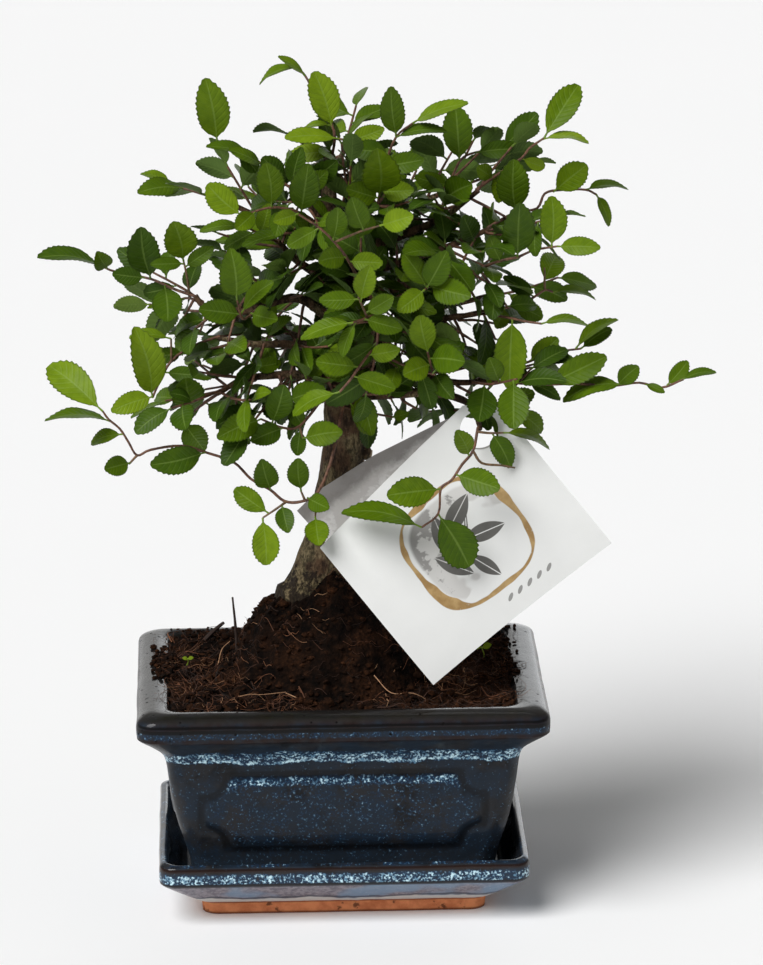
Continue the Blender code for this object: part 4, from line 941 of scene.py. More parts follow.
class Shading:
    """A tree of shader nodes, and the maker's ways of adding to it."""

    def __init__(self, tree):
        self.tree = tree

    def node(self, kind, settings, sockets):
        """One node of any kind: its settings first, then a value or a link for each socket that is named."""
        made = self.tree.nodes.new(kind)
        for setting, value in settings.items():
            if setting == "stops":
                self.set_stops(made.color_ramp.elements, value)
            else:
                setattr(made, setting, value)
        for socket, value in sockets.items():
            self.feed(made.inputs[socket], value)
        return Value(self, made)

    def set_stops(self, elements, stops):
        while len(elements) < len(stops):
            elements.new(0.5)
        for element, (place, colour) in zip(elements, stops):
            element.position = place
            element.color = (*colour, 1)

    def feed(self, socket, value):
        if isinstance(value, Value):
            self.tree.links.new(value.socket, socket)
        elif isinstance(value, tuple) and len(value) == 3 and socket.type == "RGBA":
            socket.default_value = (*value, 1)
        else:
            socket.default_value = value

    def place(self):
        """Where a surface point is, in millimetres."""
        point = self.node("ShaderNodeTexCoord", {}, {})["Object"]
        return self.node("ShaderNodeVectorMath", {"operation": "SCALE"}, {0: point, "Scale": 1 / MM})

    def parts(self, vector):
        split = self.node("ShaderNodeSeparateXYZ", {}, {0: vector})
        return split["X"], split["Y"], split["Z"]

    def marks(self):
        """The three marks that a piece's points carry."""
        return self.parts(self.node("ShaderNodeAttribute", {"attribute_name": "mark"}, {})["Vector"])

    def cloud(self, place, size, detail=3, roughness=0.5, output=0):
        sockets = {"Vector": place, "Scale": 1 / size, "Detail": detail, "Roughness": roughness}
        return self.node("ShaderNodeTexNoise", {}, sockets)[output]

    def cells(self, place, size, feature="F1", output="Distance"):
        settings = {"feature": feature}
        return self.node("ShaderNodeTexVoronoi", settings, {"Vector": place, "Scale": 1 / size})[output]

    def stretched(self, place, factors):
        return self.node("ShaderNodeVectorMath", {"operation": "MULTIPLY"}, {0: place, 1: factors})

    def ramp(self, amount, stops):
        return self.node("ShaderNodeValToRGB", {"stops": stops}, {"Fac": amount})

    def mix(self, first, second, amount, blend="MIX"):
        """Two colours mixed; amount is how much of the second there is."""
        settings = {"data_type": "RGBA", "blend_type": blend, "clamp_factor": True}
        return self.node("ShaderNodeMix", settings, {0: amount, 6: first, 7: second})[2]


class Finish(Shading):
    """One finish: a Principled shader, with whatever changes over the surface linked into it."""

    def __init__(self, name, **constants):
        self.material = bpy.data.materials.new(name)
        self.material.use_nodes = True
        super().__init__(self.material.node_tree)
        self.shader = self.tree.nodes["Principled BSDF"]
        for socket, value in constants.items():
            self.shader.inputs[socket.replace("_", " ")].default_value = value

    def coat(self, colour=None, roughness=None, weight=None, metal=None):
        for socket, value in (("Base Color", colour), ("Roughness", roughness), ("Coat Weight", weight),
                              ("Metallic", metal)):
            if value is not None:
                self.feed(self.shader.inputs[socket], value)
        return self

    def raised(self, *layers):
        """Relief in the surface: (height from 0 to 1, how many millimetres that is) for each layer."""
        normal = None
        for height, depth in layers:
            sockets = {"Height": height, "Distance": depth * MM, "Strength": 1.0}
            if normal is not None:
                sockets["Normal"] = normal
            normal = self.node("ShaderNodeBump", {}, sockets)
        self.feed(self.shader.inputs["Normal"], normal)
        return self


CHARCOAL, BLACK, NAVY = (0.0180, 0.0182, 0.0205), (0.0060, 0.0065, 0.0080), (0.0110, 0.0190, 0.0310)
PALE_FLECK, BLUE_FLECK, FLECK_HALO = (0.60, 0.82, 0.90), (0.105, 0.225, 0.34), (0.009, 0.026, 0.058)
BROWN_EDGE = (0.016, 0.0062, 0.0040)
GLAZE_SHEEN = {"IOR": 1.4, "Specular_IOR_Level": 0.12, "Coat_IOR": 1.33, "Coat_Roughness": 0.06}
# Heights on the pot: foot and top of the pool of glaze under the flare, the drip line in it, the lip's face,
# the two edges where the glaze is thin, the glossy edge between them, and where the lip's top begins
POOL_FOOT, POOL_TOP, DRIP_LINE, LIP_FACE = (61.8, 62.9), (69.4, 66.2), 63.2, 76.4
LOWER_EDGE, UPPER_EDGE, GLOSSY_EDGE, TOP_FROM = 74.4, 80.2, 79.0, (80.4, 82.2)
# On the saucer: the rim band's foot and top, its brown edge, its inner line, and where the bare clay begins
BAND_FOOT, BAND_TOP, BROWN_RIM = (16.8, 17.6), (22.0, 20.4), ((21.4, 22.4), (23.5, 23.0))
INNER_LINE, BARE_CLAY = (23.45, 23.8), (5.3, 4.9)


def speckled(finish, place, plenty, thin):
    """Dark glaze with pale blue flecks, dense where it ran thick, and brown where it drew thin off an edge."""
    patches = finish.cloud(place, 9.0, 4, 0.62)
    base = finish.mix(BLACK, CHARCOAL, patches.rising(0.36, 0.56))
    base = finish.mix(base, NAVY, finish.cloud(place, 13.0, 3, 0.6).rising(0.40, 0.58) * 0.85)
    uneven = finish.cloud(place, 4.0, 3, 0.6).rising(0.30, 0.70)
    near = plenty * (0.55 + uneven * 0.65)
    grain = finish.cloud(place, 0.95, 2, 0.6)
    halo = (grain + near * 0.30).rising(0.52, 0.66) * near.rising(0.10, 0.55)
    level = grain + near * 0.24
    core = level.rising(0.665, 0.79)
    patchy = finish.cloud(place, 1.8, 3, 0.65).rising(0.38, 0.56)
    bright = level.rising(0.72, 0.86) * patchy * near.rising(0.0, 0.55)
    colour = finish.mix(base, FLECK_HALO, halo)
    fleck = finish.mix(BLUE_FLECK, PALE_FLECK, bright)
    colour = finish.mix(colour, fleck, core * (0.22 + near * 0.85).least(1.0))
    return finish.mix(colour, BROWN_EDGE, thin), core


def pot_glaze():
    finish = Finish("dark_blue_pot_glaze", **GLAZE_SHEEN)
    place = finish.place()
    panel_depth_in, within, _ = finish.marks()
    _, _, z = finish.parts(place)
    wander = (finish.cloud(place, 22.0, 2) - 0.5) * 5.0 + (finish.cloud(place, 6.0, 2) - 0.5) * 2.6
    height = z + wander
    pooled = height.rising(*POOL_FOOT) * height.rising(*POOL_TOP)
    drip = height.band(DRIP_LINE, 0.2, 0.5) * 0.45
    lip_face = (z + wander * 0.3).band(LIP_FACE, 0.6, 1.5) * 0.42
    outline = panel_depth_in.band(1.2, 0.5, 2.8) * (z.rising(50.0, 54.5) * 0.66 + 0.24)
    # More flecks low on the body: partly real speckle, partly painted light where the saucer shades it
    body = (0.22 + panel_depth_in.rising(-1.0, 4.0) * 0.10 + z.rising(33.0, 22.0) * 0.14) * z.rising(70.5, 67.0)
    plenty = (pooled + drip).most(lip_face).most(outline).most(body) * z.rising(13.5, 17.5)
    worn_edge = z.band(LOWER_EDGE, 0.6, 0.9).most(z.band(UPPER_EDGE, 1.2, 1.4) * 0.8) * 0.8
    thin = worn_edge * finish.cloud(place, 5.0, 3).rising(0.25, 0.60)
    colour, flecks = speckled(finish, place, plenty, thin.most(z.rising(15.5, 13.0)))
    # Painted light: the lower body is painted lighter and bluer where the saucer shades it
    colour = finish.mix(colour, (0.034, 0.046, 0.062), z.rising(31.0, 20.0) * (1 - flecks) * 0.55)
    # Painted shade: the groove round the side panels is painted near black
    groove = panel_depth_in.band(-1.5, 0.6, 1.5)
    colour = finish.mix(colour, (0.004, 0.0035, 0.0035), groove * 0.6)
    # A near-black band round the lip's upper edge, broken by a thin lighter line, the glint, which is a painted
    # highlight
    glint = (z + wander * 0.2).band(GLOSSY_EDGE + 0.2, 0.1, 0.3)
    glossy_edge = (z + wander * 0.12).band(GLOSSY_EDGE, 1.1, 0.6) * (1 - glint * 0.7)
    colour = finish.mix(colour, (0.0022, 0.0020, 0.0022), glossy_edge * 0.85)
    top = z.rising(*TOP_FROM)
    pits = finish.cells(place, 3.4).rising(0.19, 0.12) * finish.cloud(place, 8.0, 2).rising(0.46, 0.56)
    pits = pits * z.rising(74.0, 76.0)
    colour = finish.mix(colour, (0.010, 0.0075, 0.0045), top * 0.8)
    colour = finish.mix(colour, (0.004, 0.003, 0.003), pits)
    worn = finish.cloud(place, 3.0, 3)
    finish.coat(colour, 0.40 + worn * 0.12 + pits * 0.3, (0.35 + top * 0.65) * (1 - pits) * (1 - within * 0.5))
    return finish.raised((finish.cloud(place, 12.0, 2), 0.5), (worn, 0.08), (1 - pits, 0.15),
                         (flecks, 0.03)).material


def saucer_glaze():
    finish = Finish("dark_blue_saucer_glaze_on_red_clay", **GLAZE_SHEEN)
    place = finish.place()
    within, _, _ = finish.marks()
    _, _, z = finish.parts(place)
    wander = (finish.cloud(place, 22.0, 2) - 0.5) * 2.2
    height = z + wander
    rim = height.rising(*BAND_FOOT) * height.rising(*BAND_TOP) * (1 - within)
    inner_line = z.rising(*INNER_LINE) * (0.2 + finish.cloud(place, 9.0, 2).rising(0.4, 0.6) * 0.35)
    plenty = (rim * 1.05).most(inner_line).most(0.16)
    edge = z.rising(*BROWN_RIM[0]) * z.rising(*BROWN_RIM[1]) * (1 - within)
    colour, flecks = speckled(finish, place, plenty, edge * 0.92)
    streaks = finish.cloud(place, 2.2, 4, 0.65).rising(0.36, 0.66)
    mauve = finish.mix((0.115, 0.105, 0.135), (0.26, 0.235, 0.26), streaks)
    pooled = finish.cloud(place, 24.0, 2).rising(0.47, 0.58)
    mauve = finish.mix(mauve, (0.16, 0.25, 0.36), pooled * 0.8)
    mauve = finish.mix(mauve, (0.40, 0.46, 0.52), flecks * 0.6)
    flow = (finish.cloud(place, 11.0, 2) - 0.5) * 5.0
    lower = z + flow
    mauve = finish.mix(mauve, (0.030, 0.040, 0.060), lower.band(8.6, 0.2, 0.7) * 0.8)
    mauve = finish.mix(mauve, (0.58, 0.56, 0.53), lower.rising(8.2, 7.4) * 0.9)
    below = z.rising(16.9, 16.2) * (1 - within)
    colour = finish.mix(colour, mauve, below)
    colour = finish.mix(colour, (0.010, 0.010, 0.013), z.band(16.7, 0.5, 0.5) * (1 - within) * 0.9)
    mottled = finish.cloud(place, 7.0, 4, 0.6).rising(0.35, 0.65)
    clay = finish.mix((0.82, 0.31, 0.135), (0.60, 0.19, 0.080), mottled)
    stains = finish.cloud(place, 5.0, 3, 0.6).rising(0.60, 0.68) * 0.8
    clay = finish.mix(clay, (0.10, 0.040, 0.025), stains.most(z.rising(1.2, 0.3) * 0.8))
    bare = (z + (finish.cloud(place, 9.0, 3, 0.6) - 0.5) * 1.8).rising(*BARE_CLAY)
    clay = finish.mix(clay, (0.12, 0.045, 0.030), z.band(4.9, 0.2, 0.5) * 0.7)
    colour = finish.mix(colour, clay, bare)
    finish.coat(colour, 0.34 * (1 - bare) + bare * 0.85, (1 - bare) * (0.95 - below * 0.70))
    grit = finish.cloud(place, 0.8, 3) * bare
    return finish.raised((finish.cloud(place, 10.0, 2), 0.4), (grit, 0.15), (flecks, 0.03)).material


def potting_mix():
    finish = Finish("dark_potting_mix")
    place = finish.place()
    tint, damp, _ = finish.marks()
    x, _, _ = finish.parts(place)
    clumps = finish.cloud(place, 3.0, 5, 0.65)
    grains = finish.cells(place, 1.3)
    dark = finish.mix((0.0020, 0.0012, 0.0009), (0.012, 0.0055, 0.0030), clumps.rising(0.35, 0.70))
    specks = finish.cloud(place, 1.0, 3).rising(0.3, 0.7)
    brown = finish.mix((0.018, 0.0070, 0.0034), (0.070, 0.027, 0.011), specks)
    # Paler dry patches at random, and paler towards the right, which is painted light where the card and the heap
    # shade the soil
    dry_patches_and_painted_light = finish.cloud(place, 13.0, 2).rising(0.48, 0.66) * 0.35 + x.rising(24.0, 46.0) * 0.45
    colour = finish.mix(dark, brown, (clumps.rising(0.54, 0.74) * 0.4 + tint * 0.6 + dry_patches_and_painted_light).least(1.0))
    finish.coat(colour, 0.97 - damp * 0.3)
    finish.shader.inputs["Specular IOR Level"].default_value = 0.08
    return finish.raised((clumps, 1.2), (grains, 0.35)).material


def fibre_finish():
    finish = Finish("coconut_fibre")
    place = finish.place()
    tint, _, _ = finish.marks()
    colour = finish.ramp(tint, [(0.0, (0.008, 0.004, 0.0025)), (0.45, (0.055, 0.019, 0.008)),
                                (0.8, (0.20, 0.072, 0.028)), (1.0, (0.46, 0.25, 0.13))])
    colour = finish.mix(colour, (0.02, 0.01, 0.006), finish.cloud(place, 1.5, 3).rising(0.45, 0.75) * 0.6)
    finish.coat(colour, 0.75 + finish.cloud(place, 0.6, 2) * 0.2)
    return finish.raised((finish.cloud(place, 0.3, 2), 0.05)).material


def bark():
    finish = Finish("grey_brown_bark", Specular_IOR_Level=0.25)
    place = finish.place()
    _, _, z = finish.parts(place)
    lengthwise = finish.stretched(place, (1.0, 1.0, 0.42))
    plates = finish.cloud(lengthwise, 3.6, 5, 0.68)
    fine = finish.cloud(lengthwise, 0.9, 4, 0.7)
    colour = finish.mix((0.024, 0.0125, 0.0065), (0.118, 0.066, 0.035), plates.rising(0.36, 0.60))
    colour = finish.mix(colour, (0.215, 0.140, 0.084), fine.rising(0.55, 0.75) * 0.40)
    olive = (finish.cloud(place, 10.0, 3) + z.rising(165.0, 112.0) * 0.16).rising(0.50, 0.66)
    lichen = finish.mix((0.070, 0.058, 0.028), (0.30, 0.235, 0.125), fine.rising(0.40, 0.62))
    colour = finish.mix(colour, lichen, olive * 0.75)
    spots = finish.cells(finish.stretched(place, (1.0, 1.0, 2.0)), 3.0).rising(0.15, 0.08)
    colour = finish.mix(colour, (0.30, 0.22, 0.15), spots * 0.55)
    # Dark patches, more of them towards the trunk's foot
    dark_patches_low = (finish.cloud(place, 3.4, 4, 0.65) + z.rising(130.0, 108.0) * 0.34).rising(0.62, 0.72)
    colour = finish.mix(colour, (0.012, 0.006, 0.0035), dark_patches_low * 0.9)
    finish.coat(colour, 0.86 - fine * 0.15)
    return finish.raised((plates, 1.8), (fine, 0.5), (spots, 0.35), (dark_patches_low, 0.8)).material


def twig_bark():
    finish = Finish("red_brown_twig_bark")
    place = finish.place()
    tint, _, _ = finish.marks()
    mottled = finish.cloud(place, 1.6, 4, 0.6).rising(0.3, 0.7)
    colour = finish.mix((0.050, 0.019, 0.011), (0.19, 0.085, 0.045), mottled)
    colour = finish.mix(colour, (0.13, 0.16, 0.035), tint)
    finish.coat(colour, 0.62)
    return finish.raised((finish.cloud(place, 0.7, 3), 0.15)).material


def cut_wood():
    finish = Finish("pale_cut_wood")
    place = finish.place()
    ringed = finish.cloud(place, 1.2, 3)
    finish.coat(finish.mix((0.20, 0.13, 0.075), (0.42, 0.32, 0.20), ringed.rising(0.3, 0.7)), 0.8)
    return finish.raised((ringed, 0.3)).material


def leaf_finish():
    finish = Finish("small_elm_leaf", Specular_IOR_Level=0.10)
    place = finish.place()
    tone, along, across = finish.marks()
    under = across.rising(1.6, 2.4)
    across = across - under * UNDER
    out = abs(across)
    mottled = finish.cloud(place, 3.2, 3) - 0.5
    colour = finish.ramp((tone + mottled * 0.22).most(0.0), LEAF_TONES)
    rows = (along * 9.0 - out * 1.9 + 20.0).fraction()
    side_vein = rows.band(0.5, 0.015, 0.085) * out.rising(1.0, 0.7)
    midrib = out.rising(0.085, 0.03)
    veins = midrib.most(side_vein * 0.55)
    colour = finish.mix(colour, (0.22, 0.32, 0.07), midrib * 0.30 + side_vein * 0.05)
    colour = finish.mix(colour, (0.018, 0.026, 0.005), out.rising(0.86, 1.0) * 0.55)
    colour = finish.mix(colour, (0.105, 0.165, 0.045), under * 0.55)
    finish.coat(colour, 0.31 + under * 0.25 + finish.cloud(place, 2.0, 2) * 0.16)
    puckers = rows.band(0.0, 0.2, 0.35).most(rows.band(1.0, 0.2, 0.35))
    return finish.raised((puckers, 0.06), (1 - veins, 0.04)).material


def card_paper():
    finish = Finish("printed_card", Specular_IOR_Level=0.4)
    place = finish.place()
    u, v, leaf_side = finish.marks()
    fibre = finish.cloud(place, 0.6, 3)
    paper = finish.mix((0.73, 0.735, 0.72), (0.79, 0.795, 0.78), finish.cloud(place, 12.0, 3))
    # The back leaf and the front leaf's back face: a soft grey wash, partly print and partly painted shade inside
    # the fold, with a printed dark band along the upper edge
    washed = finish.cloud(place, 9.0, 4, 0.65)
    layers = washed.rising(0.43, 0.49) * 0.6 + washed.rising(0.52, 0.56) * 0.4
    wash = finish.mix((0.56, 0.54, 0.52), (0.78, 0.77, 0.75), layers)
    wash = finish.mix(wash, (0.17, 0.155, 0.145), (v + (washed - 0.5) * 14.0).rising(68.0, 74.0) * 0.85)
    paper = finish.mix(paper, wash, leaf_side)
    design, inked = card_design(finish, place, u, v)
    colour = finish.mix(paper, design, inked * (1 - leaf_side))
    finish.coat(colour, 0.50 + fibre * 0.12)
    return finish.raised((fibre, 0.03)).material


def card_design(finish, place, u, v):
    """A plain printed design: one brushed ochre frame with round corners, and a grey sprig on a soft wash."""
    brushed = finish.cloud(place, 8.0, 4, 0.62)
    coarse = finish.cloud(place, 15.0, 2)
    middle_u, middle_v, half = CARD_PRINT
    square = (abs(u - middle_u) ** 3 + abs(v - middle_v) ** 3) ** (1 / 3)
    off_line = abs(square + (coarse - 0.5) * 2.0 - half) - coarse * coarse * 4.6
    line = off_line.rising(0.2, -0.15) * brushed.rising(0.24, 0.36)
    ochre = finish.mix((0.30, 0.17, 0.045), (0.47, 0.31, 0.12), brushed.rising(0.35, 0.65))
    inside = square.rising(half - 1.5, half - 3.0)
    wash = inside * (coarse + (v - u) * 0.010).rising(0.37, 0.41) * 0.9
    deep = (brushed + (v - u) * 0.007).rising(0.55, 0.60)
    colour = finish.mix((0.57, 0.56, 0.54), (0.24, 0.23, 0.22), deep)
    inked = wash
    for cu, cv, lean, half_long, half_wide in CARD_LEAVES:
        c, s = math.cos(math.radians(lean)), math.sin(math.radians(lean))
        along = (u - cu) * c + (v - cv) * s
        over = (v - cv) * c - (u - cu) * s
        body = (along / half_long) ** 2 + abs(over / half_wide)
        shape = body.rising(1.0, 0.93) * abs(over).rising(0.10, 0.22)
        colour = finish.mix(colour, finish.mix((0.07, 0.068, 0.062), (0.16, 0.155, 0.145), brushed), shape)
        inked = inked.most(shape)
    across = (u / 4.4).fraction() * 4.4 - 2.2
    spot = (across / 1.5) ** 2 + ((v - 7.0 - across * 0.5) / 0.8) ** 2
    row = spot.rising(1.1, 0.9) * u.band(50.6, 11.0, 0.05)
    colour = finish.mix(colour, (0.20, 0.195, 0.185), row)
    return finish.mix(colour, ochre, line), inked.most(line * 0.97).most(row * 0.85)


def rounded_loop(half_long, half_short, corner, z, corner_steps, side_steps):
    """One level loop of a rounded rectangle, as (point, way out, place along its side).

    The steps are those of a corner, then those of a short and of a long side.
    """
    loop = []
    sides = ((1, 0, half_short), (0, 1, half_long), (-1, 0, half_short), (0, -1, half_long))
    for k, (nx, ny, half) in enumerate(sides):
        normal, run = Vector((nx, ny, 0)), Vector((-ny, nx, 0))
        off = half_long if nx else half_short
        flat = half - corner
        count = side_steps[k % 2]
        for i in range(count):
            along = -flat + 2 * flat * i / count
            loop.append((normal * off + run * along + Vector((0, 0, z)), normal, along))
        centre = normal * (off - corner) + run * flat + Vector((0, 0, z))
        for i in range(corner_steps):
            way = turned(normal, Vector((0, 0, 1)), 90 * i / corner_steps)
            loop.append((centre + way * corner, way, half))
    return loop


def fine_wall(profile, steps):
    """A rounded wall profile through (height, half length) places."""
    route = smooth_route([(half, 0, z) for z, half in profile], steps)
    return [(p.z, p.x) for p in route]


def panel_depth(z, along, half):
    """How far inside the side panel's outline a place is. Its corners are scooped out, and it is soft."""
    corner = PANEL_HIGH if z > (PANEL_LOW + PANEL_HIGH) / 2 else PANEL_LOW
    scooped = math.hypot(abs(along) - half, z - corner) - PANEL_SCOOP
    edges = (half - abs(along), z - PANEL_LOW, PANEL_HIGH - z, scooped)
    nearest = min(edges)
    return nearest - PANEL_SOFT * math.log(sum(math.exp((nearest - edge) / PANEL_SOFT) for edge in edges))


def mouth(p, half):
    """The same point of the wall, but nearer in where the opening's ends reach further in than its sides."""
    p.x *= 1 - MOUTH_NARROWING * eased(p.z, *MOUTH_HEIGHTS) * eased(half, *MOUTH_WALLS)
    return p


def make_pot():
    skin = Skin()
    outer = fine_wall(POT_WALL_OUT, POT_WALL_STEPS[0])
    inner = fine_wall([POT_WALL_OUT[-1]] + POT_WALL_IN, POT_WALL_STEPS[1])[1:]
    loops, marks = [], []
    for i, (z, half) in enumerate(outer + inner):
        level = []
        sizes = half, half - POT_NARROWER, POT_CORNER
        for p, out, along in rounded_loop(*sizes, z, POT_CORNER_STEPS, POT_STEPS):
            shift = POT_WANDER * rough(p * 0.6, 16.0, 2)
            depth = -PANEL_SCOOP
            if i < len(outer) and abs(out.x * out.y) < 1e-6:
                depth = panel_depth(z, along, PANEL_HALF_SHORT if abs(out.x) > 0.5 else PANEL_HALF_LONG)
                groove = max(0.0, 1 - abs(depth + GROOVE_OUT) / GROOVE_HALF) ** 1.5
                shift += PANEL_PROUD * eased(depth, *PANEL_EDGE) - GROOVE_DEEP * groove
            if z > LIP_FROM:
                shift = min(shift, WIDEST_WANDER)
            level.append(mouth(p + out * shift, half))
            marks.append((max(depth, -PANEL_SCOOP), float(i >= len(outer)), 0.0))
        loops.append(level)
    points, faces = rings(loops)
    skin.add(points, faces, marks)
    pot = skin.piece("glazed_pot", [pot_glaze()], "pot_glaze", "pot")
    foot_x, foot_y = FOOT_CHANNELS
    foot_top = POT_WALL_OUT[0][0] + POT_FOOT
    cut_block(pot, (-PAST_POT, -foot_y, 0), (PAST_POT, foot_y, foot_top))
    cut_block(pot, (-foot_x, -PAST_POT, 0), (foot_x, PAST_POT, foot_top))
    for x in (-DRAIN_X, DRAIN_X):
        cut_hole(pot, *[(x, 0, z) for z in DRAIN_HEIGHTS], DRAIN_RADIUS)
    return pot


def cut_away(obj, points, faces):
    """Cuts a closed shape out of a piece, once."""
    mesh = bpy.data.meshes.new("cutter")
    mesh.from_pydata([Vector(p) * MM for p in points], [], faces)
    cutter = bpy.data.objects.new("cutter", mesh)
    bpy.context.scene.collection.objects.link(cutter)
    change = obj.modifiers.new("cut", "BOOLEAN")
    change.operation = "DIFFERENCE"
    change.solver = "MANIFOLD"
    change.object = cutter
    graph = bpy.context.evaluated_depsgraph_get()
    cut = bpy.data.meshes.new_from_object(obj.evaluated_get(graph))
    obj.modifiers.clear()
    obj.data = cut
    bpy.data.objects.remove(cutter)


def cut_block(obj, low, high):
    (x0, y0, z0), (x1, y1, z1) = low, high
    outline = ((x0, y0), (x1, y0), (x1, y1), (x0, y1))
    cut_away(obj, *rings([[Vector((x, y, z)) for x, y in outline] for z in (z0, z1)]))


def cut_hole(obj, start, end, radius):
    start, end = Vector(start), Vector(end)
    ahead = (end - start).normalized()
    across = ahead.orthogonal().normalized()
    spokes = [turned(across, ahead, 360 * k / DRAIN_STEPS) * radius for k in range(DRAIN_STEPS)]
    loops = [[middle + spoke for spoke in spokes] for middle in (start, end)]
    cut_away(obj, *rings(loops))


def make_saucer():
    skin = Skin()
    loops, marks = [], []
    wall = fine_wall(SAUCER_WALL, SAUCER_WALL_STEPS)
    top = max(range(len(wall)), key=lambda i: wall[i][0])
    for i, (z, half) in enumerate(wall):
        level = []
        sizes = half, half - SAUCER_NARROWER, SAUCER_CORNER
        for p, out, _ in rounded_loop(*sizes, z, SAUCER_CORNER_STEPS, SAUCER_STEPS):
            level.append(p + out * min(SAUCER_WANDER * rough(p * 0.7, 14.0, 2), WIDEST_WANDER))
            marks.append((float(i > top), 0.0, 0.0))
        loops.append(level)
    points, faces = rings(loops)
    skin.add(points, faces, marks)
    return skin.piece("glazed_saucer", [saucer_glaze()], "saucer_glaze", "saucer")


def heap_height(x, y):
    """How far the root ball stands above the soil's edge at a place."""
    u, v = (x - HEAP_CENTRE[0]) / HEAP_RADII[0], (y - HEAP_CENTRE[1]) / HEAP_RADII[1]
    rolling = 1.1 * math.sin(0.31 * x + 1.3) * math.cos(0.37 * y) + 0.8 * math.sin(0.53 * x - 0.41 * y)
    return HEAP_TOP * math.exp(-((u * u + v * v) ** HEAP_STEEPNESS)) + rolling


def soil_surface(x, y):
    """The soil's height at a place, with its mounds and clods."""
    edge = max(abs(x) / SOIL_REACH[0], abs(y) / SOIL_REACH[1])
    calm = 1 - eased(edge, 0.90, 1.0)
    height = heap_height(x, y)
    for (mound_x, mound_y), radius, tall in SOIL_MOUNDS:
        height += tall * math.exp(-((x - mound_x) ** 2 + (y - mound_y) ** 2) / radius ** 2 * 1.6)
    flat = Vector((x, y, 0))
    clods = 1.5 * rough(flat, 9.0, 3) + 1.6 * abs(rough(flat + Vector((0, 0, 9)), 4.5, 4)) - 0.4
    fine = 0.7 * rough(flat + Vector((0, 0, 31)), 1.6, 2)
    return SOIL_EDGE + height * (0.25 + 0.75 * calm) + clods * (0.5 + 0.5 * calm) + fine


def make_soil(rng):
    skin = Skin()
    walls = [(z, half) for z, half in reversed(POT_WALL_IN) if z < SOIL_EDGE - 1]
    walls.append((SOIL_EDGE - 0.6, SOIL_REACH[1] + POT_NARROWER))
    loops = []
    for z, half in walls:
        sizes = half - FIT, half - POT_NARROWER - FIT, POT_CORNER - FIT
        level = rounded_loop(*sizes, max(z, SOIL_BOTTOM), SOIL_CORNER_STEPS, SOIL_STEPS)
        loops.append([mouth(p, half) for p, _, _ in level])
    edge = loops[-1]
    for i in range(SOIL_RINGS):
        part = 1 - (i + 1) / (SOIL_RINGS + 1) * 0.97
        loops.append([Vector((p.x * part, p.y * part, soil_surface(p.x * part, p.y * part))) for p in edge])
    points, faces = rings(loops)
    skin.add(points, faces, [NO_MARK] * len(points))
    for _ in range(CRUMBS):
        x, y = rng.uniform(-1, 1) * SOIL_REACH[0] * 0.99, rng.uniform(-1, 1) * SOIL_REACH[1] * 0.99
        size = rng.uniform(*CRUMB_SIZES) * (BIG_CRUMB if rng.random() < BIG_CRUMBS else 1.0)
        add_crumb(skin, Vector((x, y, soil_surface(x, y) + size * 0.25)), size, rng)
    for (spill_x, spill_y), (spread_x, spread_y), count in SOIL_SPILLS:
        for _ in range(count):
            x, y = rng.gauss(spill_x, spread_x), rng.gauss(spill_y, spread_y)
            size = rng.uniform(*SPILT_SIZES)
            if abs(x) < LIP_LIMIT[0] and abs(y) < LIP_LIMIT[1]:
                add_crumb(skin, Vector((x, y, LIP_TOP + size * 0.3 + rng.uniform(0, 0.8))), size, rng)
    return skin.piece("potting_mix", [potting_mix()], "potting_fibre", "soil")


def make_fibres(rng):
    """Tufts of coconut fibre over the soil, long strands, two sticks and two tiny seedlings."""
    skin = Skin()
    reach_x, reach_y = SOIL_REACH
    tufts = [(rng.uniform(-1, 1) * reach_x, rng.uniform(-1, 1) * reach_y) for _ in range(FIBRE_TUFTS)]
    for (spill_x, spill_y), (spread_x, spread_y), count in SOIL_SPILLS:
        tufts += [(rng.gauss(spill_x, spread_x), rng.gauss(spill_y, spread_y)) for _ in range(count // 20)]
    for x, y in tufts:
        heading, paleness = rng.uniform(0, math.tau), rng.uniform(*FIBRE_PALENESS)
        for _ in range(rng.randint(*FIBRES_IN_TUFT)):
            from_x, from_y = x + rng.gauss(0, 4), y + rng.gauss(0, 3)
            add_fibre(skin, from_x, from_y, heading + rng.gauss(0, 0.8), paleness, rng)
    for places, radii in SOIL_STICKS:
        route = smooth_route(places, 4)
        tube(skin, route, taper(radii, len(route)), STICK_SIDES, (0.12, 0.0, 0.0), 0, *STICK_LUMPS)
    for strand in SOIL_STRANDS:
        route = smooth_route([(x, y, soil_surface(x, y) + rise) for x, y, rise in strand], 5)
        tube(skin, route, taper(STRAND_RADII, len(route)), STRAND_SIDES, (1.0, 0.0, 0.0))
    for x, y, tall in SEEDLINGS:
        add_seedling(skin, x, y, tall, rng)
    return skin.piece("coconut_fibres", [fibre_finish(), leaf_finish()], "potting_fibre")


def add_crumb(skin, centre, size, rng):
    """A small angular lump of peat or bark."""
    shape = bmesh.new()
    bmesh.ops.create_icosphere(shape, subdivisions=1, radius=1.0)
    stretch = Vector((rng.uniform(0.7, 1.5), rng.uniform(0.7, 1.3), rng.uniform(0.5, 0.9))) * size
    turn = Matrix.Rotation(rng.uniform(0, math.tau), 3, "Z") @ Matrix.Rotation(rng.uniform(-0.5, 0.5), 3, "X")
    points = []
    for vert in shape.verts:
        lump = 1 + 0.35 * noise.noise(vert.co * 1.7 + centre)
        points.append(centre + turn @ Vector([a * b * lump for a, b in zip(vert.co, stretch)]))
    faces = [tuple(vert.index for vert in face.verts) for face in shape.faces]
    shape.free()
    tint = rng.random() ** 2
    skin.add(points, faces, [(tint, 0.0, 0.0)] * len(points))


def resting_height(x, y):
    """How high a thing lies that rests on the soil, or on the lip where it reaches over it."""
    over = abs(x) > SOIL_REACH[0] - 0.6 or abs(y) > SOIL_REACH[1] - 0.6
    return LIP_TOP if over else soil_surface(x, y)


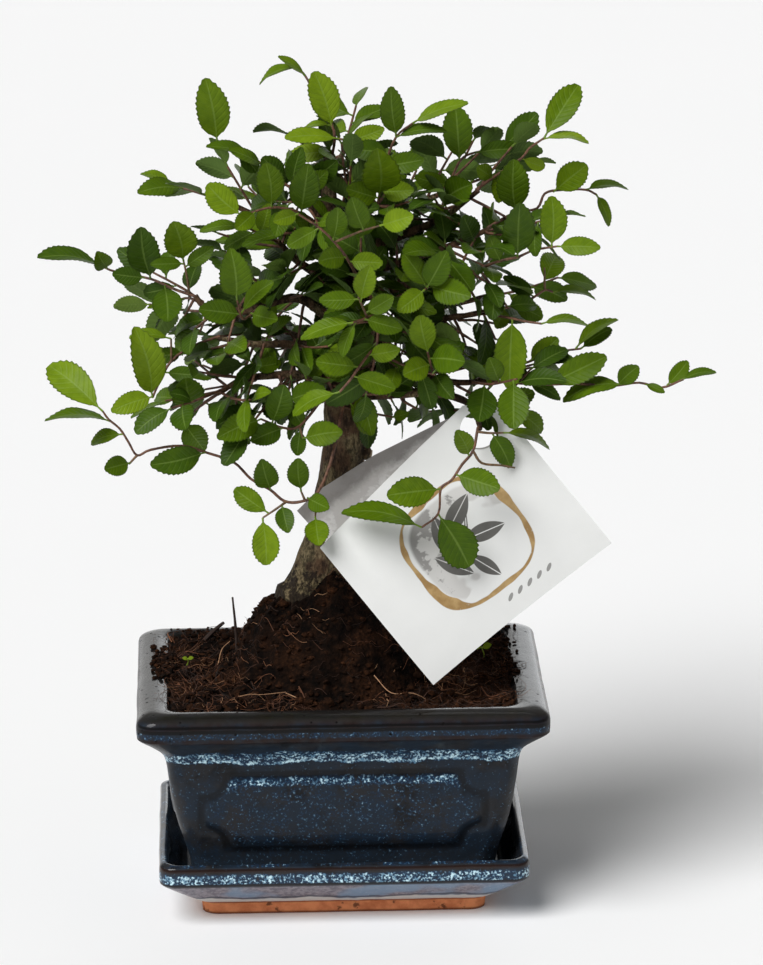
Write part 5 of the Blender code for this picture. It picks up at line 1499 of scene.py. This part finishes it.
def add_fibre(skin, x, y, heading, paleness, rng):
    """A thin strand that lies over the soil, bent, with one end lifted now and then."""
    bend = rng.uniform(-2.4, 2.4)
    length = rng.uniform(*FIBRE_LENGTHS[0 if rng.random() < COMMON_LENGTHS else 1])
    uphill = Vector((soil_surface(x + 1.5, y) - soil_surface(x - 1.5, y),
                     soil_surface(x, y + 1.5) - soil_surface(x, y - 1.5), 0)) / 3
    if uphill.length > 0.5:
        heading = math.atan2(uphill.x, -uphill.y) + rng.choice((0, math.pi)) + bend * 0.15
        bend, length = bend * 0.3, length * 0.7
    lift = rng.uniform(0.8, 4.0) if rng.random() < 0.32 else rng.uniform(0.0, 0.8)
    places = []
    steps = FIBRE_PLACES - 1
    for i in range(FIBRE_PLACES):
        t = i / steps
        x += math.cos(heading + bend * t) * length / steps
        y += math.sin(heading + bend * t) * length / steps
        if abs(x) > LIP_LIMIT[0] or abs(y) > LIP_LIMIT[1]:
            return
        arch = lift * math.sin(math.pi * min(1, t * 1.2)) if lift < 2 else lift * t * t
        places.append(Vector((x, y, resting_height(x, y) + 0.3 + arch + rng.uniform(-0.2, 0.3))))
    route = smooth_route(places, 2)
    radius = rng.uniform(*FIBRE_RADII[0 if rng.random() < COMMON_RADII else 1])
    if max(p.z for p in places) - min(p.z for p in places) > FIBRE_STEEPEST:
        return
    tint = max(0.0, min(1.0, paleness + rng.uniform(-0.3, 0.2)))
    tube(skin, route, taper((radius, radius * 0.6), len(route)), FIBRE_SIDES, (tint, 0.0, 0.0))


def add_seedling(skin, x, y, tall, rng):
    """A tiny weed seedling: a stem with two round seed leaves."""
    foot = Vector((x, y, soil_surface(x, y) - 0.5))
    top = foot + Vector((rng.uniform(-1, 1), -0.6, tall))
    route = smooth_route([foot, foot.lerp(top, 0.5) + Vector((0.4, 0, 0)), top], 3)
    tube(skin, route, taper(SEEDLING_STEM, len(route)), STEM_SIDES, (0.85, 0.5, 0.0), 1)
    for hand in (-1, 1):
        axis = Vector((hand * 0.9, -0.15, 0.35)).normalized()
        face = (Vector((0, -1.0, 0.8)) - axis * axis.dot(Vector((0, -1.0, 0.8)))).normalized()
        add_leaf(skin, Leaf(top, axis, face, tall * 0.75, tall * 0.5, 0.2), 0.8, rng, 1, teeth=0.0)


def make_trunk():
    skin = Skin()
    places = [Vector(p) for p, _ in TRUNK_ROUTE]
    route = smooth_route(places, TRUNK_STEPS)
    girths = smooth_route([(radius, 0, 0) for _, radius in TRUNK_ROUTE], TRUNK_STEPS)
    loops = []
    for place, girth in zip(route, girths):
        loop = []
        for k in range(TRUNK_FINE_SIDES):
            angle = math.tau * k / TRUNK_FINE_SIDES
            way = Vector((math.cos(angle), math.sin(angle), 0))
            # Three broad and five fine lobes where the foot flares, then flutes that wind up the trunk
            flare = eased(place.z, *TRUNK_FLARE)
            lobes = 0.10 * flare * math.sin(3 * angle - 1.4) + 0.05 * flare * math.sin(5 * angle)
            flute = 0.035 * math.sin(3 * angle + 0.014 * place.z * math.tau)
            at = place + way * girth.x
            grain = 0.045 * rough(Vector((at.x, at.y, at.z * 0.25)), 3.2, 3)
            lump = 0.06 * rough(at, 12.0, 2) + 0.02 * rough(at, 2.4, 2)
            loop.append(place + way * girth.x * (1 + lobes + flute + grain + lump))
        loops.append(loop)
    points, faces = rings(loops)
    skin.add(points, faces, [NO_MARK] * len(points))
    for places in BRANCHES.values():
        fine = smooth_route(places, 6)
        thick, thin = BRANCH_RADII
        radii = [thick * (thin / thick) ** (i / (len(fine) - 1)) for i in range(len(fine))]
        fine = [p + Vector((0.35 * rough(p + Vector((9, 0, 0)), 7.0, 2), 0, 0.35 * rough(p, 7.0, 2)))
                for p in fine]
        tube(skin, fine, radii, BRANCH_SIDES, NO_MARK, 0, *BRANCH_LUMPS)
    stub = smooth_route(STUB_ROUTE, 6)[:-3]
    girths = taper(STUB_RADII, len(stub))
    ahead = (stub[-1] - stub[-2]).normalized()
    for further, girth in STUB_END:
        stub.append(stub[-1] + ahead * 0.45 * further)
        girths.append(STUB_RADII[1] * girth)
    tube(skin, stub, girths, STUB_SIDES, NO_MARK, 0, *STUB_LUMPS)
    cut_face = [stub[-3], stub[-1] + ahead * 0.1]
    tube(skin, cut_face, [STUB_RADII[1] * part for part in CUT_GIRTHS], CUT_SIDES, NO_MARK, 2, *CUT_LUMPS)
    return skin.piece("trunk_and_branches", [bark(), twig_bark(), cut_wood()], "bark", "trunk")


def add_leaf(skin, leaf, tone, rng, kind, teeth=1.0, grid=FINE_LEAF):
    """A fine leaf: stalk, then a folded, arched blade with a toothed edge, on a body of its real thickness."""
    side = leaf.axis.cross(leaf.face)
    fold, droop, swing = (rng.uniform(*ends) for ends in (LEAF_FOLD, LEAF_DROOP, LEAF_SWING))
    wave, waves, broadest = rng.uniform(0, math.tau), rng.uniform(*LEAF_WAVES), rng.uniform(*LEAF_BROADEST)
    begin = STALK_PART * 0.85
    count, across = grid if teeth else (SEED_LEAF_ROWS, grid[1])

    def middle(t):
        along = begin + (1 - begin) * t
        rise = leaf.arch * math.sin(math.pi * along) - droop * leaf.length * t ** 3
        sway = swing * leaf.length * math.sin(math.pi * t)
        return leaf.root + leaf.axis * leaf.length * along + leaf.face * rise + side * sway

    top = []
    marks = []
    for i in range(count + 1):
        t = i / count
        half = max(0.07, 0.5 * leaf.width * between(t ** broadest, LEAF_BREADTH))
        for u in across:
            out, ahead = half * u, 0.0
            if abs(u) == 1 and 0 < i < count:
                out *= 1 + teeth * (TOOTH_OUT if i % 2 else -TOOTH_OUT)
                ahead = teeth * TOOTH_AHEAD[i % 2] * leaf.length / count
            rise = half * (fold * abs(u) + waves * math.sin(9 * t + wave + u) * u * u)
            top.append(middle(t) + side * out + leaf.axis * ahead + leaf.face * rise)
            marks.append((tone, t, u))
    columns = len(across)
    size = len(top)
    points = [p + leaf.face * LEAF_BODY / 2 for p in top] + [p - leaf.face * LEAF_BODY / 2 for p in top]
    faces = []
    for i in range(count):
        for k in range(columns - 1):
            a, b = i * columns + k, i * columns + k + 1
            faces.append((a, b, b + columns, a + columns))
            faces.append((a + size, a + columns + size, b + columns + size, b + size))
    rim = [i * columns for i in range(count + 1)]
    rim += [count * columns + k for k in range(1, columns)]
    rim += [i * columns + columns - 1 for i in range(count - 1, -1, -1)]
    rim += [k for k in range(columns - 2, 0, -1)]
    for a, b in zip(rim, rim[1:] + rim[:1]):
        faces.append((a, a + size, b + size, b))
    skin.add(points, faces, marks + [(a, b, c + UNDER) for a, b, c in marks], kind)
    stalk = [leaf.root, leaf.root.lerp(middle(0.0), 0.55), middle(0.0), middle(0.07) - leaf.face * 0.15]
    tube(skin, stalk, taper(PETIOLE, len(stalk)), STALK_SIDES, (tone, 0.5, 0.0), kind)


def add_spray(skin, twigs, leaves, tone, wood, rng, spread=TONE_SPREAD, grid=FINE_LEAF):
    """A spray's twigs, bedded on the wood that carries them, and its leaves."""
    for i, twig in enumerate(twigs):
        if i == 0:
            root = wood.find_nearest(twig[0])[0]
            twig = [root + (root - twig[1]).normalized() * 0.6] + twig
        route = smooth_route(twig, 4)
        thick = TWIG_FINE if i == 0 else [r * SIDE_TWIG for r in TWIG_FINE]
        greener = 0.15 if i else 0.0
        tube(skin, route, taper(thick, len(route)), TWIG_SIDES, (greener, 0.0, 0.0), 1, *TWIG_LUMPS)
    tips = [twig[-1] for twig in twigs]
    for leaf in leaves:
        young = YOUNG_PALER if min((leaf.root - tip).length for tip in tips) < YOUNG_REACH else 0.0
        own = max(0.02, min(1.0, tone + young + rng.uniform(-spread, spread)))
        add_leaf(skin, leaf, own, rng, 0, grid=grid)


def inside_outline(x, z, outline):
    inside = False
    for (x0, z0), (x1, z1) in zip(outline, outline[1:] + outline[:1]):
        if (z0 > z) != (z1 > z) and x < x0 + (z - z0) * (x1 - x0) / (z1 - z0):
            inside = not inside
    return inside


def in_crown(place):
    """True where a place is in the dense part of the crown, from the front, and in its depth."""
    seen = place.z + place.y * math.tan(FRONT_VIEW_DOWN)
    if not inside_outline(place.x, seen, CROWN_MASS):
        return False
    low, high = CROWN_DEPTH
    return low <= place.y <= high


def over_hole(leaf):
    """True where a leaf would close one of the places that the front sees through."""
    for part in (0.25, 0.5, 0.75, 1.0):
        place = leaf.root + leaf.axis * leaf.length * part
        seen = Vector((place.x, place.z + place.y * math.tan(FRONT_VIEW_DOWN)))
        if any((seen - Vector(hole)).length < radius * HOLE_KEPT + HOLE_ROOM for hole, radius in CROWN_HOLES):
            return True
    return False


def inner_start(rng, gap):
    """A branch's point, a heading and a length for an inner spray: towards a gap, or any way in the crown."""
    names = [name for name in BRANCHES if gap or name != "card_branch"]
    start = point_along(smooth_route(BRANCHES[rng.choice(names)], 3), rng.uniform(0.25, 1.0))
    heading = Vector((rng.uniform(-1, 1), rng.uniform(-1, 0.8), rng.uniform(-0.5, 1)))
    length = rng.uniform(*FILL_TWIG)
    if not gap:
        return (start, heading, length) if in_crown(start + heading.normalized() * 12) else None
    depth = rng.uniform(*GAP_DEPTH)
    offset = Vector((gap[0], depth, gap[1] - depth * math.tan(FRONT_VIEW_DOWN))) - start
    if offset.length > GAP_TOO_FAR:
        return None
    shortest, longest = GAP_TWIG
    return start, offset + heading * 5, max(shortest, min(offset.length, longest))


def plan_inner_sprays(clear, wood):
    """Short sprays that fill the crown between the others, each off a branch and clear of all that is there."""
    rng = random.Random(FILL_SEED)
    planned = []
    filled = dict.fromkeys(FILL_GAPS, 0)
    for attempt, gap in enumerate(FILL_GAPS * GAP_TRIES + [None] * FILL_TRIES):
        if gap and filled[gap] >= GAP_LEAVES:
            continue
        if not gap and sum(len(leaves) for _, leaves in planned) >= FILL_LEAVES_IN_ALL:
            break
        found = inner_start(rng, gap)
        if not found:
            continue
        start, heading, length = found
        twig, leaves = spray_ahead(rng, start, heading, length, rng.randint(*FILL_LEAVES))
        owner = "inner %d" % attempt
        twig = bent_clear(seat_twig(twig, wood), clear, owner, INNER_TWIG_ROOM)
        if not twig:
            continue
        twig = seat_twig(twig, wood)
        kept, last = [], 0.0
        for t, leaf in leaves:
            leaf = leaf._replace(root=point_along(twig, min(t, 0.985)))
            tip = leaf.root + leaf.axis * leaf.length
            seen = Vector((tip.x, tip.z + tip.y * math.tan(FRONT_VIEW_DOWN)))
            if over_hole(leaf):
                continue
            if in_crown(tip) or gap and (seen - Vector(gap)).length < GAP_REACH:
                leaf = leaf_placed(leaf, clear, owner, INNER_ROOM)
                if leaf:
                    kept.append(leaf)
                    last = max(last, t)
        if len(kept) > (0 if gap else 1):
            end = min(1.0, last + 0.04)
            planned.append(([point_along(twig, end * part) for part in (0.0, 0.33, 0.67, 1.0)], kept))
            if gap:
                filled[gap] += len(kept)
    return planned


def make_crown(sprays, inner, wood, finishes, rng):
    for name, twigs, leaves in sprays:
        skin = Skin()
        add_spray(skin, twigs, leaves, SPRAY_TONES.get(name, OTHER_TONE), wood, rng)
        skin.piece("leafy_" + name, finishes, "leaf", "spray_" + name)
    groups = {}
    for twig, leaves in inner:
        middle = twig[-1]
        side = "left" if middle.x < LEFT_FROM else "right" if middle.x > RIGHT_FROM else "middle"
        group = "back" if middle.y > BACK_FROM else side, "high" if middle.z > HIGH_FROM else "low"
        groups.setdefault(group, []).append((twig, leaves))
    for group, members in sorted(groups.items()):
        skin = Skin()
        for twig, leaves in members:
            add_spray(skin, [twig], leaves, INNER_TONE_PAINTED_SHADE, wood, rng, INNER_SPREAD, INNER_LEAF)
        skin.piece("inner_leaves_%s_%s" % group, finishes, "leaf")


def sheet_over(corners, spacing, hole=None):
    """A flat sheet's triangles between its corners, as (across, up) places, with a round hole left out."""
    outline = []
    for a, b in zip(corners, corners[1:] + corners[:1]):
        count = max(1, round((b - a).length / spacing))
        outline += [a.lerp(b, i / count) for i in range(count)]
    edges = [(i, (i + 1) % len(outline)) for i in range(len(outline))]
    places = list(outline)
    if hole:
        centre, radius = hole
        start = len(places)
        angles = [math.tau * k / PUNCH_STEPS for k in range(PUNCH_STEPS)]
        places += [centre + Vector((math.cos(angle), math.sin(angle))) * radius for angle in angles]
        edges += [(start + k, start + (k + 1) % PUNCH_STEPS) for k in range(PUNCH_STEPS)]
    shape = [(p.x, p.y) for p in corners]
    low_x, high_x = min(p.x for p in corners), max(p.x for p in corners)
    low_y, high_y = min(p.y for p in corners), max(p.y for p in corners)
    for i in range(int((high_x - low_x) / spacing) + 1):
        for k in range(int((high_y - low_y) / spacing) + 1):
            p = Vector((low_x + (i + 0.5) * spacing, low_y + (k + 0.5) * spacing))
            close = min((p - q).length for q in outline) < spacing * 0.6
            in_hole = hole and (p - hole[0]).length < hole[1] + spacing * 0.6
            if inside_outline(p.x, p.y, shape) and not close and not in_hole:
                places.append(p)
    verts, _, triangles = delaunay_2d_cdt(places, edges, [], 0, 1e-4)[:3]
    kept = []
    for triangle in triangles:
        centre = (verts[triangle[0]] + verts[triangle[1]] + verts[triangle[2]]) / 3
        if inside_outline(centre.x, centre.y, shape) and not (hole and (centre - hole[0]).length < hole[1]):
            kept.append(tuple(triangle))
    return verts, kept


def smooth_height(corners, values):
    """A gently curved surface, as its height over (across, up) places, that passes through all the corners."""
    def row(x, y):
        u, v = x / 60, y / 60
        return [1, u, v, 0.5 * u * u, 0.5 * u * v, 0.5 * v * v]
    table = np.array([row(p.x, p.y) for p in corners])
    found = np.linalg.pinv(table) @ np.array(values)
    return lambda x, y: float(np.dot(found, row(x, y)))


def make_card():
    """The folded card: a front leaf with a punched hole, and a back leaf that shares its top corner."""
    skin = Skin()
    front, back = card_shells()
    right = (front[2] - front[1]).normalized()
    backward = right.cross(front[0] - front[1]).normalized()
    backward = backward if backward.y > 0 else -backward
    up = backward.cross(right) if backward.cross(right).z > 0 else right.cross(backward)
    back[2] = Vector(CARD_BACK_TUCKED)
    back[1:1] = [Vector(p) for p in CARD_BACK_EDGE]
    for corners, leaf_side in ((front, 0.0), (back, 1.0)):
        origin = front[1]
        flat = [Vector(((p - origin).dot(right), (p - origin).dot(up))) for p in corners]
        depth = smooth_height(flat, [(p - origin).dot(backward) for p in corners])
        centre = Vector(CARD_PUNCHED) - origin
        punched = (Vector((centre.dot(right), centre.dot(up))), CARD_PUNCH)
        verts, triangles = sheet_over(flat, CARD_SPACING, punched)
        points = []
        for lift in (0.0, CARD_SHEET):
            for p in verts:
                bow = 0.0 if leaf_side else CARD_BOW * math.sin(p.x / 26) * math.sin(p.y / 22)
                back_by = depth(p.x, p.y) + bow + lift + CARD_IN + leaf_side * CARD_BACK_IN
                points.append(origin + right * p.x + up * p.y + backward * back_by)
        count = len(verts)
        faces = list(triangles) + [(c + count, b + count, a + count) for a, b, c in triangles]
        border = {}
        for a, b, c in triangles:
            for edge in ((a, b), (b, c), (c, a)):
                border[edge] = border.get(edge, 0) + 1
        for a, b in border:
            if (b, a) not in border:
                faces.append((b, a, a + count, b + count))
        marks = [(p.x, p.y, leaf_side) for p in verts] + [(p.x, p.y, 1.0) for p in verts]
        skin.add(points, faces, marks)
    return skin.piece("folded_card", [card_paper()], "card", "label_card")


def surroundings():
    """Dim surroundings, with a pale strip low down at the back that shows in the glaze of the lip."""
    bpy.context.scene.view_settings.view_transform = "Standard"
    world = bpy.data.worlds.new("pale_surroundings")
    bpy.context.scene.world = world
    world.use_nodes = True
    shading = Shading(world.node_tree)
    right, back, up = shading.parts(shading.node("ShaderNodeTexCoord", {}, {})["Generated"])
    strip = back.rising(0.70, 0.88) * up.rising(0.48, 0.34)
    pale = shading.mix(BACK_SKY, RIGHT_BACK_SKY, right.rising(-0.06, 0.08))
    sky = world.node_tree.nodes["Background"]
    shading.feed(sky.inputs["Color"], shading.mix(DIM_SURROUNDINGS, pale, strip))


def key_light():
    """One wide, far light from the upper left, so that the whole floor is lit alike."""
    light = bpy.data.lights.new("key_light", "SUN")
    light.energy = KEY_POWER
    light.angle = math.radians(KEY_SPREAD)
    obj = bpy.data.objects.new("key_light", light)
    bpy.context.scene.collection.objects.link(obj)
    obj.rotation_euler = (-Vector(KEY_FROM)).to_track_quat("-Z", "Y").to_euler()


def pale_floor():
    finish = Finish("pale_studio_floor", Roughness=0.9)
    place = finish.place()
    finish.coat(finish.mix(FLOOR_TONE, tuple(c * 0.985 for c in FLOOR_TONE), finish.cloud(place, 300.0, 2)))
    mesh = bpy.data.meshes.new("studio_floor")
    half = FLOOR_HALF
    corners = [(-half, -half, 0), (half, -half, 0), (half, half, 0), (-half, half, 0)]
    mesh.from_pydata(corners, [], [(0, 1, 2, 3)])
    mesh.materials.append(finish.material)
    floor = bpy.data.objects.new("studio_floor", mesh)
    bpy.context.scene.collection.objects.link(floor)


def front_camera():
    """The camera of the photograph: a long lens, a little above, looking down on the tree."""
    down, round_z, roll = (math.radians(a) for a in (CAMERA_DOWN, CAMERA_ROUND, CAMERA_ROLL))
    back = Vector((math.sin(round_z) * math.cos(down), -math.cos(round_z) * math.cos(down), math.sin(down)))
    right = Vector((math.cos(round_z), math.sin(round_z), 0))
    up = back.cross(right)
    right, up = (right * math.cos(roll) + up * math.sin(roll), up * math.cos(roll) - right * math.sin(roll))
    camera = bpy.data.cameras.new("front_camera")
    camera.lens = CAMERA_LENS
    camera.sensor_width = 36.0
    camera.sensor_fit = "AUTO"
    camera.shift_x, camera.shift_y = CAMERA_SHIFT
    camera.clip_end = 100
    obj = bpy.data.objects.new("front_camera", camera)
    bpy.context.scene.collection.objects.link(obj)
    obj.matrix_world = Matrix((
        (right.x, up.x, back.x, CAMERA_AIM[0] + back.x * CAMERA_AWAY),
        (right.y, up.y, back.y, CAMERA_AIM[1] + back.y * CAMERA_AWAY),
        (right.z, up.z, back.z, CAMERA_AIM[2] + back.z * CAMERA_AWAY),
        (0, 0, 0, 1)))
    bpy.context.scene.camera = obj


rng = random.Random(LOOKS_SEED)
wood = surface_of(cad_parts["trunk"])
routes = wood_routes()
sprays, clear = plan_crown(routes, wood)
inner = plan_inner_sprays(clear, wood)
make_saucer()
make_pot()
make_soil(rng)
make_fibres(rng)
make_trunk()
make_card()
make_crown(sprays, inner, wood, [leaf_finish(), twig_bark()], rng)

pale_floor()
surroundings()
key_light()
front_camera()
